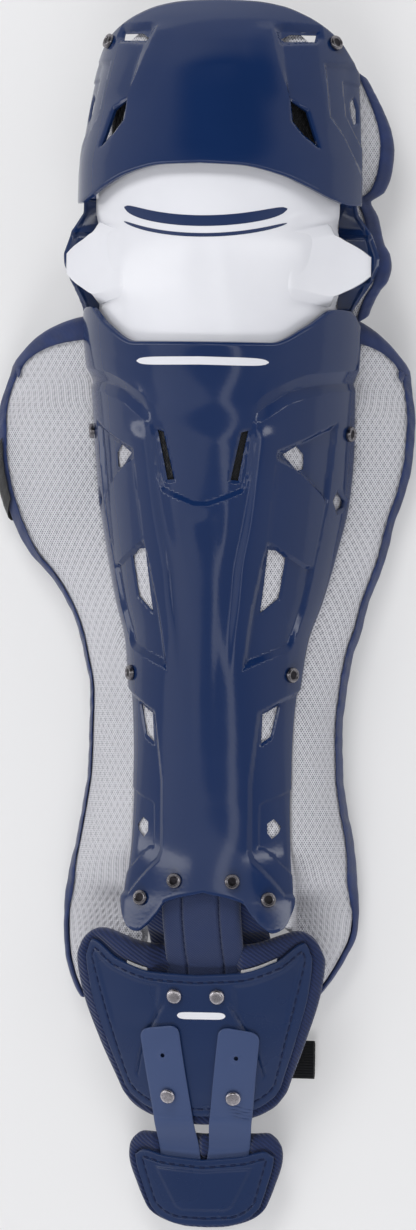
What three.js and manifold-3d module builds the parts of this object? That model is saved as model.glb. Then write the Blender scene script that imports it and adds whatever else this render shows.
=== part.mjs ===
// Catcher's leg guard, lying on its back with the knee end up the +Y axis.
// The outer shells face +Z, the hollow for the leg faces the floor.
import * as THREE from 'three';
import Module from 'manifold-3d';

const wasm = await Module();
wasm.setup();

// Named sizes in millimetres
const HEIGHT = 117;
const GUARD_WIDTH = 174;
const TOE_LENGTH = 60;
const TOE_GAP = 5;
const ANKLE_LENGTH = 116;
const SHIN_LENGTH = 374;
const KNEE_LENGTH = 130;
const THIGH_LENGTH = 124;
const KNEE_UNDER_SHIN = 32;
const THIGH_OVER_KNEE = 36;
const SHELL_WALL = 3;
const CLEARANCE = 0.4;
const PAD_THICKNESS = 12;
const PAD_UNDER_SHELL = 9;
const PAD_RIM = 5;
const RECESS_DEPTH = 1.4;
const LINK_THICKNESS = 2.5;
const TONGUE_WIDTH = 47.7;
const TONGUE_THICKNESS = 7;
const LINER_THICKNESS = 5;
const FOOT_SHIFT = -5.5;
const BINDING_THICKNESS = 1.2;
const BINDING_REACH = 3.2;
const BINDING_GAP = 0.97;
const TOE_STRAP_WIDTH = 24.5;
const TOE_STRAP_THICKNESS = 1.8;
const RIVET_HEAD = 4.6;
const RIVET_SHANK = 2;
const RIVET_HEIGHT = 2.4;
const STRAP_WIDTH = 38;
const STRAP_THICKNESS = 1.8;

// Sizes that follow from the named ones
const THIGH_WIDTH = GUARD_WIDTH;
const SHIN_WIDTH = GUARD_WIDTH * 0.977;
const KNEE_WIDTH = GUARD_WIDTH * 0.856;
const ANKLE_WIDTH = GUARD_WIDTH * 0.868;
const TOE_WIDTH = GUARD_WIDTH * 0.54;
const ANKLE_START = TOE_LENGTH + TOE_GAP;
const SHIN_START = ANKLE_START + ANKLE_LENGTH - 3;
const KNEE_START = SHIN_START + SHIN_LENGTH - KNEE_UNDER_SHIN;
const THIGH_START = KNEE_START + KNEE_LENGTH - THIGH_OVER_KNEE;
const UNDER_SHELL = -(SHELL_WALL + CLEARANCE);
const PAD_LIFT = -(SHELL_WALL + 2 * CLEARANCE);

// Colours and finishes
const NAVY_GLOSS = { color: 0x14264f, roughness: 0.28, metalness: 0 };
const WHITE_GLOSS = { color: 0xe8e9ec, roughness: 0.25, metalness: 0 };
const WHITE_MESH = { color: 0xdadce0, roughness: 0.95, metalness: 0 };
const NAVY_CLOTH = { color: 0x1d2f5c, roughness: 0.9, metalness: 0 };
const NAVY_STRAP = { color: 0x2f4470, roughness: 0.5, metalness: 0 };
const BLACK_CLOTH = { color: 0x15161a, roughness: 0.9, metalness: 0 };
const GUNMETAL = { color: 0x6c6f76, roughness: 0.35, metalness: 1 };

// Rows of a table under the names of its columns
function table(columns, rows) {
  const names = columns.split(' ');
  return rows.map((row) => Object.fromEntries(names.map((name, i) => [name, row[i]])));
}

// Smooth value of a column at a place between the rows, without overshoot
function read(rows, column, at) {
  const last = rows.length - 1;
  const place = Math.min(Math.max(at, rows[0].at), rows[last].at);
  let k = 0;
  while (k < last - 1 && place > rows[k + 1].at) {
    k += 1;
  }
  const rise = (i) => (rows[i + 1][column] - rows[i][column]) / (rows[i + 1].at - rows[i].at);
  const slope = (i) => {
    if (i === 0 || i === last) {
      return 0;
    }
    const before = rise(i - 1);
    const after = rise(i);
    return before * after <= 0 ? 0 : (2 * before * after) / (before + after);
  };
  const span = rows[k + 1].at - rows[k].at;
  const s = (place - rows[k].at) / span;
  const startSlope = k === 0 ? rise(0) : slope(k);
  const endSlope = k + 1 === last ? rise(k) : slope(k + 1);
  const bend = s * (1 - s) * ((1 - s) * (startSlope - rise(k)) - s * (endSlope - rise(k))) * span;
  return rows[k][column] + (rows[k + 1][column] - rows[k][column]) * s + bend;
}

const mix = THREE.MathUtils.lerp;
const smooth = THREE.MathUtils.smoothstep;
const vec = (x, y, z) => new THREE.Vector3(x, y, z);

function spread(from, to, count) {
  return Array.from({ length: count + 1 }, (_, i) => mix(from, to, i / count));
}

// Arched forms: width, crest and drop along the length, as shares of the named sizes
const SHIN_ROWS = table('at width crest drop', [
  [0.000, 0.632, 0.660, 0.120],
  [0.053, 0.632, 0.645, 0.128],
  [0.134, 0.604, 0.632, 0.162],
  [0.214, 0.592, 0.645, 0.188],
  [0.278, 0.592, 0.662, 0.214],
  [0.342, 0.602, 0.684, 0.239],
  [0.406, 0.628, 0.709, 0.282],
  [0.471, 0.664, 0.735, 0.342],
  [0.535, 0.751, 0.761, 0.410],
  [0.615, 0.835, 0.795, 0.496],
  [0.695, 0.905, 0.838, 0.573],
  [0.775, 0.936, 0.872, 0.598],
  [0.868, 0.953, 0.906, 0.581],
  [0.952, 1.000, 0.957, 0.575],
  [1.000, 1.000, 0.983, 0.580],
]);
const KNEE_ROWS = table('at width crest drop', [
  [0.00, 0.92, 0.900, 0.430],
  [0.15, 0.96, 0.923, 0.430],
  [0.35, 1.00, 0.948, 0.430],
  [0.60, 1.00, 0.966, 0.435],
  [1.00, 1.00, 0.923, 0.395],
]);
const THIGH_ROWS = table('at width crest drop', [
  [0.000, 1.000, 1.009, 0.521],
  [0.190, 0.998, 1.000, 0.521],
  [0.371, 0.978, 0.966, 0.543],
  [0.642, 0.931, 0.889, 0.556],
  [0.782, 0.885, 0.795, 0.470],
  [0.900, 0.810, 0.684, 0.385],
  [1.000, 0.700, 0.547, 0.256],
]);
const ANKLE_ROWS = table('at width crest drop', [
  [0.000, 0.623, 0.274, 0.110],
  [0.100, 0.642, 0.310, 0.115],
  [0.166, 0.675, 0.335, 0.118],
  [0.415, 0.826, 0.410, 0.120],
  [0.688, 0.960, 0.462, 0.120],
  [0.838, 0.993, 0.485, 0.120],
  [1.000, 1.000, 0.500, 0.120],
]);
const TOE_ROWS = table('at width crest drop', [
  [0.00, 0.660, 0.170, 0.045],
  [0.16, 0.745, 0.182, 0.055],
  [0.41, 0.880, 0.205, 0.062],
  [0.75, 1.000, 0.231, 0.068],
  [1.00, 0.955, 0.244, 0.068],
]);

function form(rows, start, length, width, sweep, shift = 0) {
  return { rows, start, length, width, sweep: THREE.MathUtils.degToRad(sweep), shift };
}

const shin = form(SHIN_ROWS, SHIN_START, SHIN_LENGTH, SHIN_WIDTH, 78);
const knee = form(KNEE_ROWS, KNEE_START, KNEE_LENGTH, KNEE_WIDTH, 78);
const thigh = form(THIGH_ROWS, THIGH_START, THIGH_LENGTH, THIGH_WIDTH, 78);
const ankle = form(ANKLE_ROWS, ANKLE_START, ANKLE_LENGTH, ANKLE_WIDTH, 50, FOOT_SHIFT);
const toe = form(TOE_ROWS, 0, TOE_LENGTH, TOE_WIDTH, 50, FOOT_SHIFT);

// Point of a form at a share across and a share along, without lift
function onForm(f, across, along) {
  const half = (f.width / 2) * read(f.rows, 'width', along);
  const angle = across * f.sweep;
  const fall = (1 - Math.cos(angle)) / (1 - Math.cos(f.sweep));
  return vec(
    f.shift + (half * Math.sin(angle)) / Math.sin(f.sweep),
    f.start + along * f.length,
    HEIGHT * (read(f.rows, 'crest', along) - read(f.rows, 'drop', along) * fall),
  );
}

function outward(f, across, along) {
  const step = 0.01;
  const side = onForm(f, across + step, along).sub(onForm(f, across - step, along));
  const up = onForm(f, across, along + step).sub(onForm(f, across, along - step));
  return side.cross(up).normalize();
}

function pointOn(f, across, along, lift = 0) {
  return onForm(f, across, along).addScaledVector(outward(f, across, along), lift);
}

// Share across of a form where it reaches a distance from its middle line
function acrossAt(f, along, distance) {
  const half = (f.width / 2) * read(f.rows, 'width', along);
  return Math.asin((distance / half) * Math.sin(f.sweep)) / f.sweep;
}

function body(points, triangles) {
  return new wasm.Manifold(new wasm.Mesh({
    numProp: 3,
    vertProperties: Float32Array.from(points.flatMap((p) => [p.x, p.y, p.z])),
    triVerts: Uint32Array.from(triangles),
  }));
}

// Closed body between a front and a back surface read at the same places
function slab(front, back, columns, rows) {
  const points = [];
  for (const surface of [front, back]) {
    for (const v of rows) {
      for (const u of columns) {
        points.push(surface(u, v));
      }
    }
  }
  const wide = columns.length;
  const tall = rows.length;
  const f = (i, j) => j * wide + i;
  const b = (i, j) => wide * tall + f(i, j);
  const triangles = [];
  const quad = (p, q, r, s) => triangles.push(p, q, r, p, r, s);
  for (let j = 0; j < tall - 1; j += 1) {
    for (let i = 0; i < wide - 1; i += 1) {
      quad(f(i, j), f(i + 1, j), f(i + 1, j + 1), f(i, j + 1));
      quad(b(i, j), b(i, j + 1), b(i + 1, j + 1), b(i + 1, j));
    }
  }
  for (let i = 0; i < wide - 1; i += 1) {
    quad(b(i, 0), b(i + 1, 0), f(i + 1, 0), f(i, 0));
    quad(f(i, tall - 1), f(i + 1, tall - 1), b(i + 1, tall - 1), b(i, tall - 1));
  }
  for (let j = 0; j < tall - 1; j += 1) {
    quad(f(0, j), f(0, j + 1), b(0, j + 1), b(0, j));
    quad(b(wide - 1, j), b(wide - 1, j + 1), f(wide - 1, j + 1), f(wide - 1, j));
  }
  return body(points, triangles);
}

// Closed body through matching loops, capped by the flat outline of the loops
function stack(outline, loops) {
  const count = outline.length;
  const caps = THREE.ShapeUtils.triangulateShape(outline, []);
  const top = (loops.length - 1) * count;
  const triangles = [];
  for (const [p, q, r] of caps) {
    triangles.push(p, r, q, top + p, top + q, top + r);
  }
  for (let k = 0; k < loops.length - 1; k += 1) {
    for (let i = 0; i < count; i += 1) {
      const low = k * count + i;
      const next = k * count + ((i + 1) % count);
      triangles.push(low, next, next + count, low, next + count, low + count);
    }
  }
  return body(loops.flat(), triangles);
}

// Body with the outline of a table, standing through a form
function plug(f, rows, low, high, side = 1) {
  const outline = rows.map((row) => new THREE.Vector2(row.across * side, row.along));
  if (THREE.ShapeUtils.area(outline) < 0) {
    outline.reverse();
  }
  const loop = (lift) => outline.map((p) => pointOn(f, p.x, p.y, lift));
  return stack(outline, [loop(low), loop(high)]);
}

// Round body on the outward line of a form, through radius and lift pairs
function turned(f, across, along, profile, sides) {
  const axis = outward(f, across, along);
  const base = onForm(f, across, along);
  const east = vec(1, 0, 0).addScaledVector(axis, -axis.x).normalize();
  const north = axis.clone().cross(east);
  const circle = spread(0, 2 * Math.PI, sides).slice(0, sides);
  const outline = circle.map((a) => new THREE.Vector2(Math.cos(a), Math.sin(a)));
  const loops = profile.map(([radius, lift]) => outline.map((p) => base.clone()
    .addScaledVector(axis, lift)
    .addScaledVector(east, p.x * radius)
    .addScaledVector(north, p.y * radius)));
  return stack(outline, loops);
}

// Rigid shell on a form between a bottom and a top edge
function shell(f, edges, columns, rows, reach = 1) {
  const along = (u, v) => mix(read(edges, 'bottom', Math.abs(u)), read(edges, 'top', Math.abs(u)), v);
  const front = (u, v) => pointOn(f, u, along(u, v));
  const back = (u, v) => pointOn(f, u, along(u, v), -SHELL_WALL);
  return slab(front, back, spread(-reach, reach, columns), spread(0, 1, rows));
}

// Layer just under the skin of a form, used to sink panels into it
function skin(f, depth, columns, rows) {
  const front = (u, v) => pointOn(f, u, v, 6);
  const back = (u, v) => pointOn(f, u, v, -depth);
  return slab(front, back, spread(-1.1, 1.1, columns), spread(-0.05, 1.05, rows));
}

// Edges of the shells and pads: share along at a share across
const SHIN_EDGES_BOTTOM = table('at bottom', [
  [0.00, 0.068],
  [0.33, 0.052],
  [0.41, 0.034],
  [0.53, 0.014],
  [0.64, 0.005],
  [0.78, 0.012],
  [0.94, 0.040],
  [1.00, 0.055],
]);
const SHIN_EDGES_TOP = table('at top', [
  [0.00, 0.944],
  [0.37, 0.944],
  [0.58, 0.972],
  [0.77, 1.000],
  [0.90, 0.998],
  [1.00, 0.975],
]);
const THIGH_EDGES_BOTTOM = table('at bottom', [
  [0.00, 0.190],
  [0.20, 0.182],
  [0.42, 0.136],
  [0.56, 0.086],
  [0.74, 0.025],
  [0.87, 0.001],
  [1.00, 0.000],
]);
const THIGH_EDGES_TOP = table('at top', [
  [0.000, 0.993],
  [0.260, 0.984],
  [0.455, 0.960],
  [0.600, 0.918],
  [0.720, 0.868],
  [0.838, 0.797],
  [0.925, 0.710],
  [1.000, 0.642],
]);
const KNEE_EDGES = table('at bottom top', [
  [0.0, 0.00, 1.00],
  [1.0, 0.00, 1.00],
]);
const ANKLE_PLATE_EDGES = table('at bottom top', [
  [0.000, 0.020, 0.762],
  [0.320, 0.026, 0.777],
  [0.585, 0.055, 0.838],
  [0.845, 0.120, 0.942],
  [0.920, 0.190, 0.850],
]);
const ANKLE_PAD_EDGES = table('at bottom top', [
  [0.00, 0.000, 0.900],
  [0.40, 0.010, 0.930],
  [0.61, 0.035, 0.978],
  [0.74, 0.060, 1.000],
  [0.88, 0.093, 0.965],
  [1.00, 0.166, 0.850],
]);
const TOE_PLATE_EDGES = table('at bottom top', [
  [0.00, 0.045, 0.705],
  [0.45, 0.060, 0.745],
  [0.75, 0.130, 0.800],
  [0.88, 0.230, 0.750],
]);
const TOE_PAD_EDGES = table('at bottom top', [
  [0.00, 0.014, 0.965],
  [0.30, 0.022, 0.965],
  [0.58, 0.055, 0.975],
  [0.82, 0.110, 0.985],
  [0.93, 0.160, 0.940],
  [1.00, 0.230, 0.850],
]);

// Edge tables that share their places for the three shells
function edgesOf(bottoms, tops) {
  const places = [...new Set([...bottoms, ...tops].map((row) => row.at))].sort((a, b) => a - b);
  return places.map((at) => ({
    at,
    bottom: read(bottoms, 'bottom', at),
    top: read(tops, 'top', at),
  }));
}
const SHIN_EDGES = edgesOf(SHIN_EDGES_BOTTOM, SHIN_EDGES_TOP);
const THIGH_EDGES = edgesOf(THIGH_EDGES_BOTTOM, THIGH_EDGES_TOP);

// Outlines of the panels and vents of the shin shell, right side
const SHIN_PANEL = table('across along', [
  [0.418, 0.775],
  [0.544, 0.790],
  [0.825, 0.822],
  [0.808, 0.791],
  [0.784, 0.698],
  [0.777, 0.588],
  [0.800, 0.513],
  [0.771, 0.461],
  [0.742, 0.456],
  [0.510, 0.440],
  [0.348, 0.427],
  [0.308, 0.419],
  [0.334, 0.525],
  [0.370, 0.599],
  [0.395, 0.629],
]);
const SHIN_PANEL_PAD = table('across along', [
  [0.420, 0.760],
  [0.550, 0.743],
  [0.732, 0.704],
  [0.762, 0.694],
  [0.762, 0.589],
  [0.698, 0.591],
  [0.553, 0.608],
  [0.395, 0.630],
]);
const SHIN_LOWER_PANEL = table('across along', [
  [0.463, 0.358],
  [0.730, 0.381],
  [1.100, 0.400],
  [1.100, 0.061],
  [0.781, 0.061],
  [0.610, 0.086],
  [0.403, 0.118],
  [0.372, 0.135],
  [0.386, 0.246],
]);
const SHIN_LOWEST_PANEL = table('across along', [
  [0.548, 0.215],
  [0.807, 0.228],
  [1.100, 0.240],
  [1.100, 0.090],
  [0.794, 0.111],
  [0.555, 0.137],
  [0.483, 0.139],
  [0.501, 0.209],
]);
const SHIN_CENTRE_PANEL = table('across along', [
  [0.290, 0.800],
  [0.234, 0.721],
  [0.230, 0.705],
  [0.040, 0.685],
  [-0.040, 0.685],
  [-0.230, 0.705],
  [-0.234, 0.721],
  [-0.290, 0.800],
  [-0.200, 0.812],
  [0.200, 0.812],
]);
const SHIN_VALLEY = table('across along', [
  [1.150, 0.880],
  [0.754, 0.880],
  [0.492, 0.867],
  [0.334, 0.840],
  [0.307, 0.822],
  [0.452, 0.843],
  [0.541, 0.854],
  [0.757, 0.866],
  [1.150, 0.868],
]);
const SHIN_VENTS = [
  table('across along', [
    [0.459, 0.767],
    [0.545, 0.781],
    [0.594, 0.767],
    [0.595, 0.745],
    [0.557, 0.742],
  ]),
  table('across along', [
    [0.414, 0.615],
    [0.467, 0.614],
    [0.544, 0.602],
    [0.543, 0.538],
    [0.419, 0.514],
  ]),
  table('across along', [
    [0.531, 0.353],
    [0.706, 0.368],
    [0.633, 0.318],
    [0.526, 0.307],
  ]),
  table('across along', [
    [0.596, 0.179],
    [0.681, 0.187],
    [0.790, 0.175],
    [0.760, 0.166],
    [0.653, 0.155],
    [0.595, 0.164],
  ]),
  table('across along', [
    [0.833, 0.695],
    [0.863, 0.711],
    [0.950, 0.695],
    [0.945, 0.686],
    [0.880, 0.678],
  ]),
  table('across along', [
    [0.224, 0.801],
    [0.262, 0.804],
    [0.208, 0.724],
    [0.165, 0.725],
  ]),
];

// Outlines on the thigh cap, right side
const THIGH_PANEL = table('across along', [
  [0.670, 0.690],
  [0.680, 0.648],
  [0.702, 0.424],
  [0.803, 0.330],
  [0.917, 0.204],
  [1.100, 0.030],
  [1.100, 0.690],
]);
const THIGH_VENTS = [
  table('across along', [
    [0.410, 0.806],
    [0.470, 0.830],
    [0.660, 0.830],
    [0.640, 0.796],
    [0.430, 0.792],
  ]),
  table('across along', [
    [0.465, 0.500],
    [0.560, 0.450],
    [0.632, 0.276],
    [0.538, 0.334],
    [0.474, 0.398],
  ]),
  table('across along', [
    [0.905, 0.505],
    [0.935, 0.520],
    [0.965, 0.470],
    [0.965, 0.405],
    [0.935, 0.395],
    [0.905, 0.450],
  ]),
];

function sinkPanels(part, f, panels, keep, depth, columns, rows) {
  const layer = skin(f, depth, columns, rows);
  let result = part;
  for (const side of [-1, 1]) {
    for (const outline of panels) {
      let cut = layer.intersect(plug(f, outline, -14, 14, side));
      for (const island of keep) {
        cut = cut.subtract(plug(f, island, -14, 14, side));
      }
      result = result.subtract(cut);
    }
  }
  return result;
}

function cutVents(part, f, vents) {
  let result = part;
  for (const side of [-1, 1]) {
    for (const outline of vents) {
      result = result.subtract(plug(f, outline, -14, 14, side));
    }
  }
  return result;
}

// Rivets: the form they stand on, their place, and the layer below the head
const RIVETS = [
  { name: 'rivet_thigh', f: thigh, across: 0.78, along: 0.782, base: 0 },
  { name: 'rivet_shin_upper', f: shin, across: 0.93, along: 0.803, base: 0 },
  { name: 'rivet_shin_mid', f: shin, across: 0.80, along: 0.417, base: 0 },
  { name: 'rivet_shin_inner', f: shin, across: 0.243, along: 0.086, base: 0 },
  { name: 'rivet_shin_outer', f: shin, across: 0.576, along: 0.058, base: 0 },
  { name: 'rivet_ankle', f: ankle, across: 0.16, along: 0.655, base: 0 },
];
const STRAP_LAYER = 2 * CLEARANCE + TOE_STRAP_THICKNESS;
const TOE_STRAPS = table('side topAcross topAlong endAcross endAlong', [
  [-1, -0.31, 0.495, -0.262, 0.60],
  [1, 0.36, 0.485, 0.262, 0.60],
]);

function rivet(place, side) {
  const under = place.base + CLEARANCE;
  const top = under + RIVET_HEIGHT;
  const profile = [
    [RIVET_SHANK, -SHELL_WALL],
    [RIVET_SHANK, under],
    [RIVET_HEAD, under],
    [RIVET_HEAD, top - 0.7],
    [RIVET_HEAD - 0.8, top],
  ];
  return turned(place.f, place.across * side, place.along, profile, 12);
}

function rivetHole(place, side, low, high) {
  const radius = RIVET_SHANK + CLEARANCE;
  return turned(place.f, place.across * side, place.along, [[radius, low], [radius, high]], 12);
}

function withRivetHoles(part, f) {
  let result = part;
  for (const place of RIVETS.filter((item) => item.f === f)) {
    for (const side of [-1, 1]) {
      result = result.subtract(rivetHole(place, side, -SHELL_WALL - 2, 3));
    }
  }
  return result;
}

function shinShell() {
  const plain = shell(shin, SHIN_EDGES, 14, 16);
  const paneled = sinkPanels(plain, shin, [SHIN_PANEL, SHIN_LOWER_PANEL], [SHIN_PANEL_PAD], RECESS_DEPTH, 16, 18);
  const deeper = sinkPanels(paneled, shin, [SHIN_LOWEST_PANEL], [], RECESS_DEPTH + 0.7, 16, 18);
  const centred = deeper
    .subtract(skin(shin, 0.8, 16, 18).intersect(plug(shin, SHIN_CENTRE_PANEL, -14, 14)));
  const grooved = sinkPanels(centred, shin, [SHIN_VALLEY], [], 0.9, 16, 18);
  return withRivetHoles(cutVents(grooved, shin, SHIN_VENTS), shin);
}

function thighCap() {
  const plain = shell(thigh, THIGH_EDGES, 16, 8);
  const paneled = sinkPanels(plain, thigh, [THIGH_PANEL], [], RECESS_DEPTH, 18, 9);
  return withRivetHoles(cutVents(paneled, thigh, THIGH_VENTS), thigh);
}

// Knee cap: an arch with a flat ear at each side
const EAR_ROWS = table('at reach height low high', [
  [0.00, 0.785, 0.715, 0.330, 0.560],
  [0.40, 0.970, 0.635, 0.306, 0.588],
  [0.65, 1.085, 0.583, 0.334, 0.555],
  [0.85, 1.175, 0.542, 0.366, 0.524],
  [1.00, 1.245, 0.512, 0.402, 0.491],
]);

function ear(side) {
  const point = (u, v, lift) => vec(
    side * (KNEE_WIDTH / 2) * read(EAR_ROWS, 'reach', u),
    KNEE_START + KNEE_LENGTH * mix(read(EAR_ROWS, 'low', u), read(EAR_ROWS, 'high', u), v),
    HEIGHT * read(EAR_ROWS, 'height', u) + lift,
  );
  const front = (u, v) => point(side > 0 ? u : 1 - u, v, 0);
  const back = (u, v) => point(side > 0 ? u : 1 - u, v, -SHELL_WALL);
  return slab(front, back, spread(0, 1, 7), spread(0, 1, 4));
}

function kneeCap() {
  const arch = shell(knee, KNEE_EDGES, 18, 6);
  return arch.add(ear(1)).add(ear(-1));
}

// Side links: faceted plates behind the ears, from shin shell to thigh cap
const LINK_ROWS = table('at reach height', [
  [0.00, 1.056, 0.470],
  [0.13, 1.125, 0.460],
  [0.31, 1.235, 0.444],
  [0.44, 1.290, 0.436],
  [0.53, 1.295, 0.436],
  [0.73, 1.225, 0.446],
  [0.88, 1.125, 0.470],
  [1.00, 1.115, 0.497],
]);

function sideLink(side) {
  const start = SHIN_START + SHIN_LENGTH - 5;
  const end = THIGH_START + 3;
  const inner = (KNEE_WIDTH / 2) * 0.97;
  const point = (u, v, lift) => {
    const outer = (KNEE_WIDTH / 2) * read(LINK_ROWS, 'reach', v);
    const high = HEIGHT * 0.48;
    return vec(
      side * mix(inner, outer, u),
      mix(start, end, v),
      mix(high, HEIGHT * read(LINK_ROWS, 'height', v), u) + lift,
    );
  };
  const place = (u) => (side > 0 ? u : 1 - u);
  const front = (u, v) => point(place(u), v, 0);
  const back = (u, v) => point(place(u), v, -LINK_THICKNESS);
  return slab(front, back, spread(0, 1, 3), LINK_ROWS.map((row) => row.at));
}

// Section of a pad as it leaves the shell: from under the edge out to the rim
function wing(base, knot, shoulder, tip, share) {
  const curve = (a, b, c, d) => {
    const r = 1 - share;
    return a * r * r * r + 3 * b * r * r * share + 3 * c * r * share * share + d * share * share * share;
  };
  return {
    x: curve(base.x, knot.x, shoulder.x, tip.x),
    z: curve(base.z, knot.z, shoulder.z, tip.z),
  };
}

// Back surface of a pad: the front moved inwards, square to the section
function padSurfaces(frontAt, thickness, yAt) {
  const front = (s, v) => frontAt(s, yAt(s, v));
  const back = (s, v) => {
    const y = yAt(s, v);
    const step = 0.01;
    const ahead = frontAt(Math.min(s + step, 1), y);
    const behind = frontAt(Math.max(s - step, -1), y);
    const run = ahead.sub(behind).setY(0).normalize();
    const inward = vec(run.z, 0, -run.x);
    return frontAt(s, y).addScaledVector(inward, thickness(s));
  };
  return { front, back };
}

// Rim of the shin pad: reach of the left and right tips and their height
const SHIN_RIM = table('at left right height', [
  [-0.112, 0.500, 0.306, 0.100],
  [-0.078, 0.541, 0.374, 0.100],
  [-0.032, 0.569, 0.435, 0.095],
  [0.005, 0.576, 0.470, 0.090],
  [0.043, 0.576, 0.477, 0.090],
  [0.088, 0.568, 0.473, 0.090],
  [0.144, 0.541, 0.462, 0.095],
  [0.203, 0.518, 0.436, 0.100],
  [0.259, 0.500, 0.420, 0.105],
  [0.326, 0.494, 0.418, 0.125],
  [0.385, 0.492, 0.430, 0.130],
  [0.449, 0.520, 0.451, 0.120],
  [0.492, 0.547, 0.480, 0.105],
  [0.535, 0.592, 0.502, 0.100],
  [0.575, 0.655, 0.535, 0.090],
  [0.615, 0.735, 0.565, 0.090],
  [0.666, 0.794, 0.592, 0.090],
  [0.713, 0.830, 0.628, 0.090],
  [0.765, 0.848, 0.652, 0.090],
  [0.829, 0.846, 0.659, 0.092],
  [0.861, 0.829, 0.652, 0.100],
  [0.900, 0.797, 0.639, 0.110],
  [0.921, 0.759, 0.614, 0.125],
  [0.944, 0.673, 0.569, 0.145],
  [0.975, 0.600, 0.535, 0.170],
]);
const SHIN_PAD_EDGES = table('at bottom top', [
  [0.00, 0.106, 0.970],
  [0.22, 0.106, 0.970],
  [0.30, 0.098, 0.970],
  [0.40, 0.078, 0.970],
  [0.50, 0.052, 0.970],
  [0.60, -0.010, 0.969],
  [0.70, -0.065, 0.966],
  [0.80, -0.095, 0.958],
  [0.90, -0.106, 0.940],
  [1.00, -0.104, 0.900],
]);
const TUCK_TOP = 0.105;
const TUCK_BOTTOM = 0.045;

function shinPadFront(s, y) {
  const along = (y - SHIN_START) / SHIN_LENGTH;
  const side = Math.sign(s);
  const away = Math.abs(s);
  const dip = smooth(along, 0.845, 0.905) * (SHELL_WALL * 4);
  const lift = PAD_LIFT - dip;
  if (away <= 0.5) {
    return pointOn(shin, 2 * s, along, lift).setY(y);
  }
  const rim = pointOn(shin, 1, along, lift);
  const above = pointOn(shin, 0.97, along, lift);
  const tuck = 1 - smooth(along, TUCK_BOTTOM, TUCK_TOP);
  const base = { x: mix(rim.x, SHIN_WIDTH * 0.27, tuck), z: mix(rim.z, HEIGHT * 0.2, tuck) };
  const fall = rim.clone().sub(above).normalize();
  const tape = BINDING_GAP + BINDING_THICKNESS;
  const reach = SHIN_WIDTH * read(SHIN_RIM, side < 0 ? 'left' : 'right', along) - tape;
  const tip = { x: reach, z: HEIGHT * read(SHIN_RIM, 'height', along) };
  const knot = { x: base.x + fall.x * 6, z: base.z + fall.z * 6 * (1 - tuck) };
  const shoulder = { x: mix(base.x, tip.x, 0.85), z: mix(tip.z, base.z, 0.72) };
  const p = wing(base, knot, shoulder, tip, (away - 0.5) * 2);
  return vec(side * p.x, y, p.z);
}

function padThickness(s) {
  const away = Math.abs(s);
  if (away <= 0.55) {
    return mix(PAD_UNDER_SHELL, PAD_THICKNESS, smooth(away, 0.4, 0.55));
  }
  return mix(PAD_THICKNESS, PAD_RIM, smooth(away, 0.72, 1));
}

function along(edges, start, length) {
  return (s, v) => {
    const away = Math.abs(s);
    return start + length * mix(read(edges, 'bottom', away), read(edges, 'top', away), v);
  };
}

const shinPadRim = padSurfaces(shinPadFront, padThickness, along(SHIN_PAD_EDGES, SHIN_START, SHIN_LENGTH));
const WING_PLACES = [0.57, 0.64, 0.72, 0.8, 0.88, 0.94, 1];
const SHIN_PAD_COLUMNS = [
  ...WING_PLACES.map((place) => -place).reverse(),
  ...spread(-0.5, 0.5, 10),
  ...WING_PLACES,
];
const SHIN_PAD_ROWS = spread(0, 1, 22);

function shinPad() {
  return slab(shinPadRim.front, shinPadRim.back, SHIN_PAD_COLUMNS, SHIN_PAD_ROWS);
}

// Knee pad: crest of its arch, its width, and the rim of its side flaps
const KNEE_PAD_ROWS = table('at crest half left right height', [
  [0.000, 0.845, 0.860, 1.110, 1.110, 0.300],
  [0.050, 0.875, 0.875, 1.140, 1.150, 0.308],
  [0.110, 0.908, 0.885, 1.200, 1.224, 0.325],
  [0.143, 0.922, 0.885, 1.235, 1.290, 0.342],
  [0.184, 0.929, 0.885, 1.260, 1.313, 0.350],
  [0.220, 0.933, 0.885, 1.240, 1.297, 0.340],
  [0.253, 0.935, 0.885, 1.200, 1.248, 0.325],
  [0.340, 0.930, 0.885, 1.140, 1.180, 0.270],
  [0.395, 0.922, 0.885, 1.120, 1.110, 0.230],
  [0.430, 0.915, 0.885, 1.115, 1.215, 0.215],
  [0.490, 0.903, 0.885, 1.115, 1.266, 0.205],
  [0.560, 0.890, 0.885, 1.115, 1.281, 0.200],
  [0.615, 0.882, 0.885, 1.110, 1.261, 0.205],
  [0.683, 0.868, 0.885, 1.095, 1.199, 0.215],
  [0.740, 0.845, 0.880, 1.080, 1.128, 0.225],
  [0.790, 0.815, 0.870, 1.050, 1.060, 0.235],
  [0.860, 0.720, 0.800, 0.940, 0.940, 0.255],
  [0.930, 0.628, 0.714, 0.830, 0.830, 0.270],
  [1.000, 0.510, 0.620, 0.740, 0.740, 0.270],
]);
const KNEE_PAD_EDGES = table('at bottom top', [
  [0.00, 0.000, 1.000],
  [0.25, 0.000, 0.968],
  [0.38, 0.000, 0.920],
  [0.50, 0.000, 0.868],
  [0.75, 0.000, 0.826],
  [0.90, 0.008, 0.806],
  [1.00, 0.028, 0.780],
]);
const KNEE_PAD_START = SHIN_START + SHIN_LENGTH * 0.970 + 2;
const KNEE_PAD_LENGTH = THIGH_START + THIGH_LENGTH * 0.96 - KNEE_PAD_START;
const KNEE_PAD_EDGE_HEIGHT = 0.522;

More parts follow.
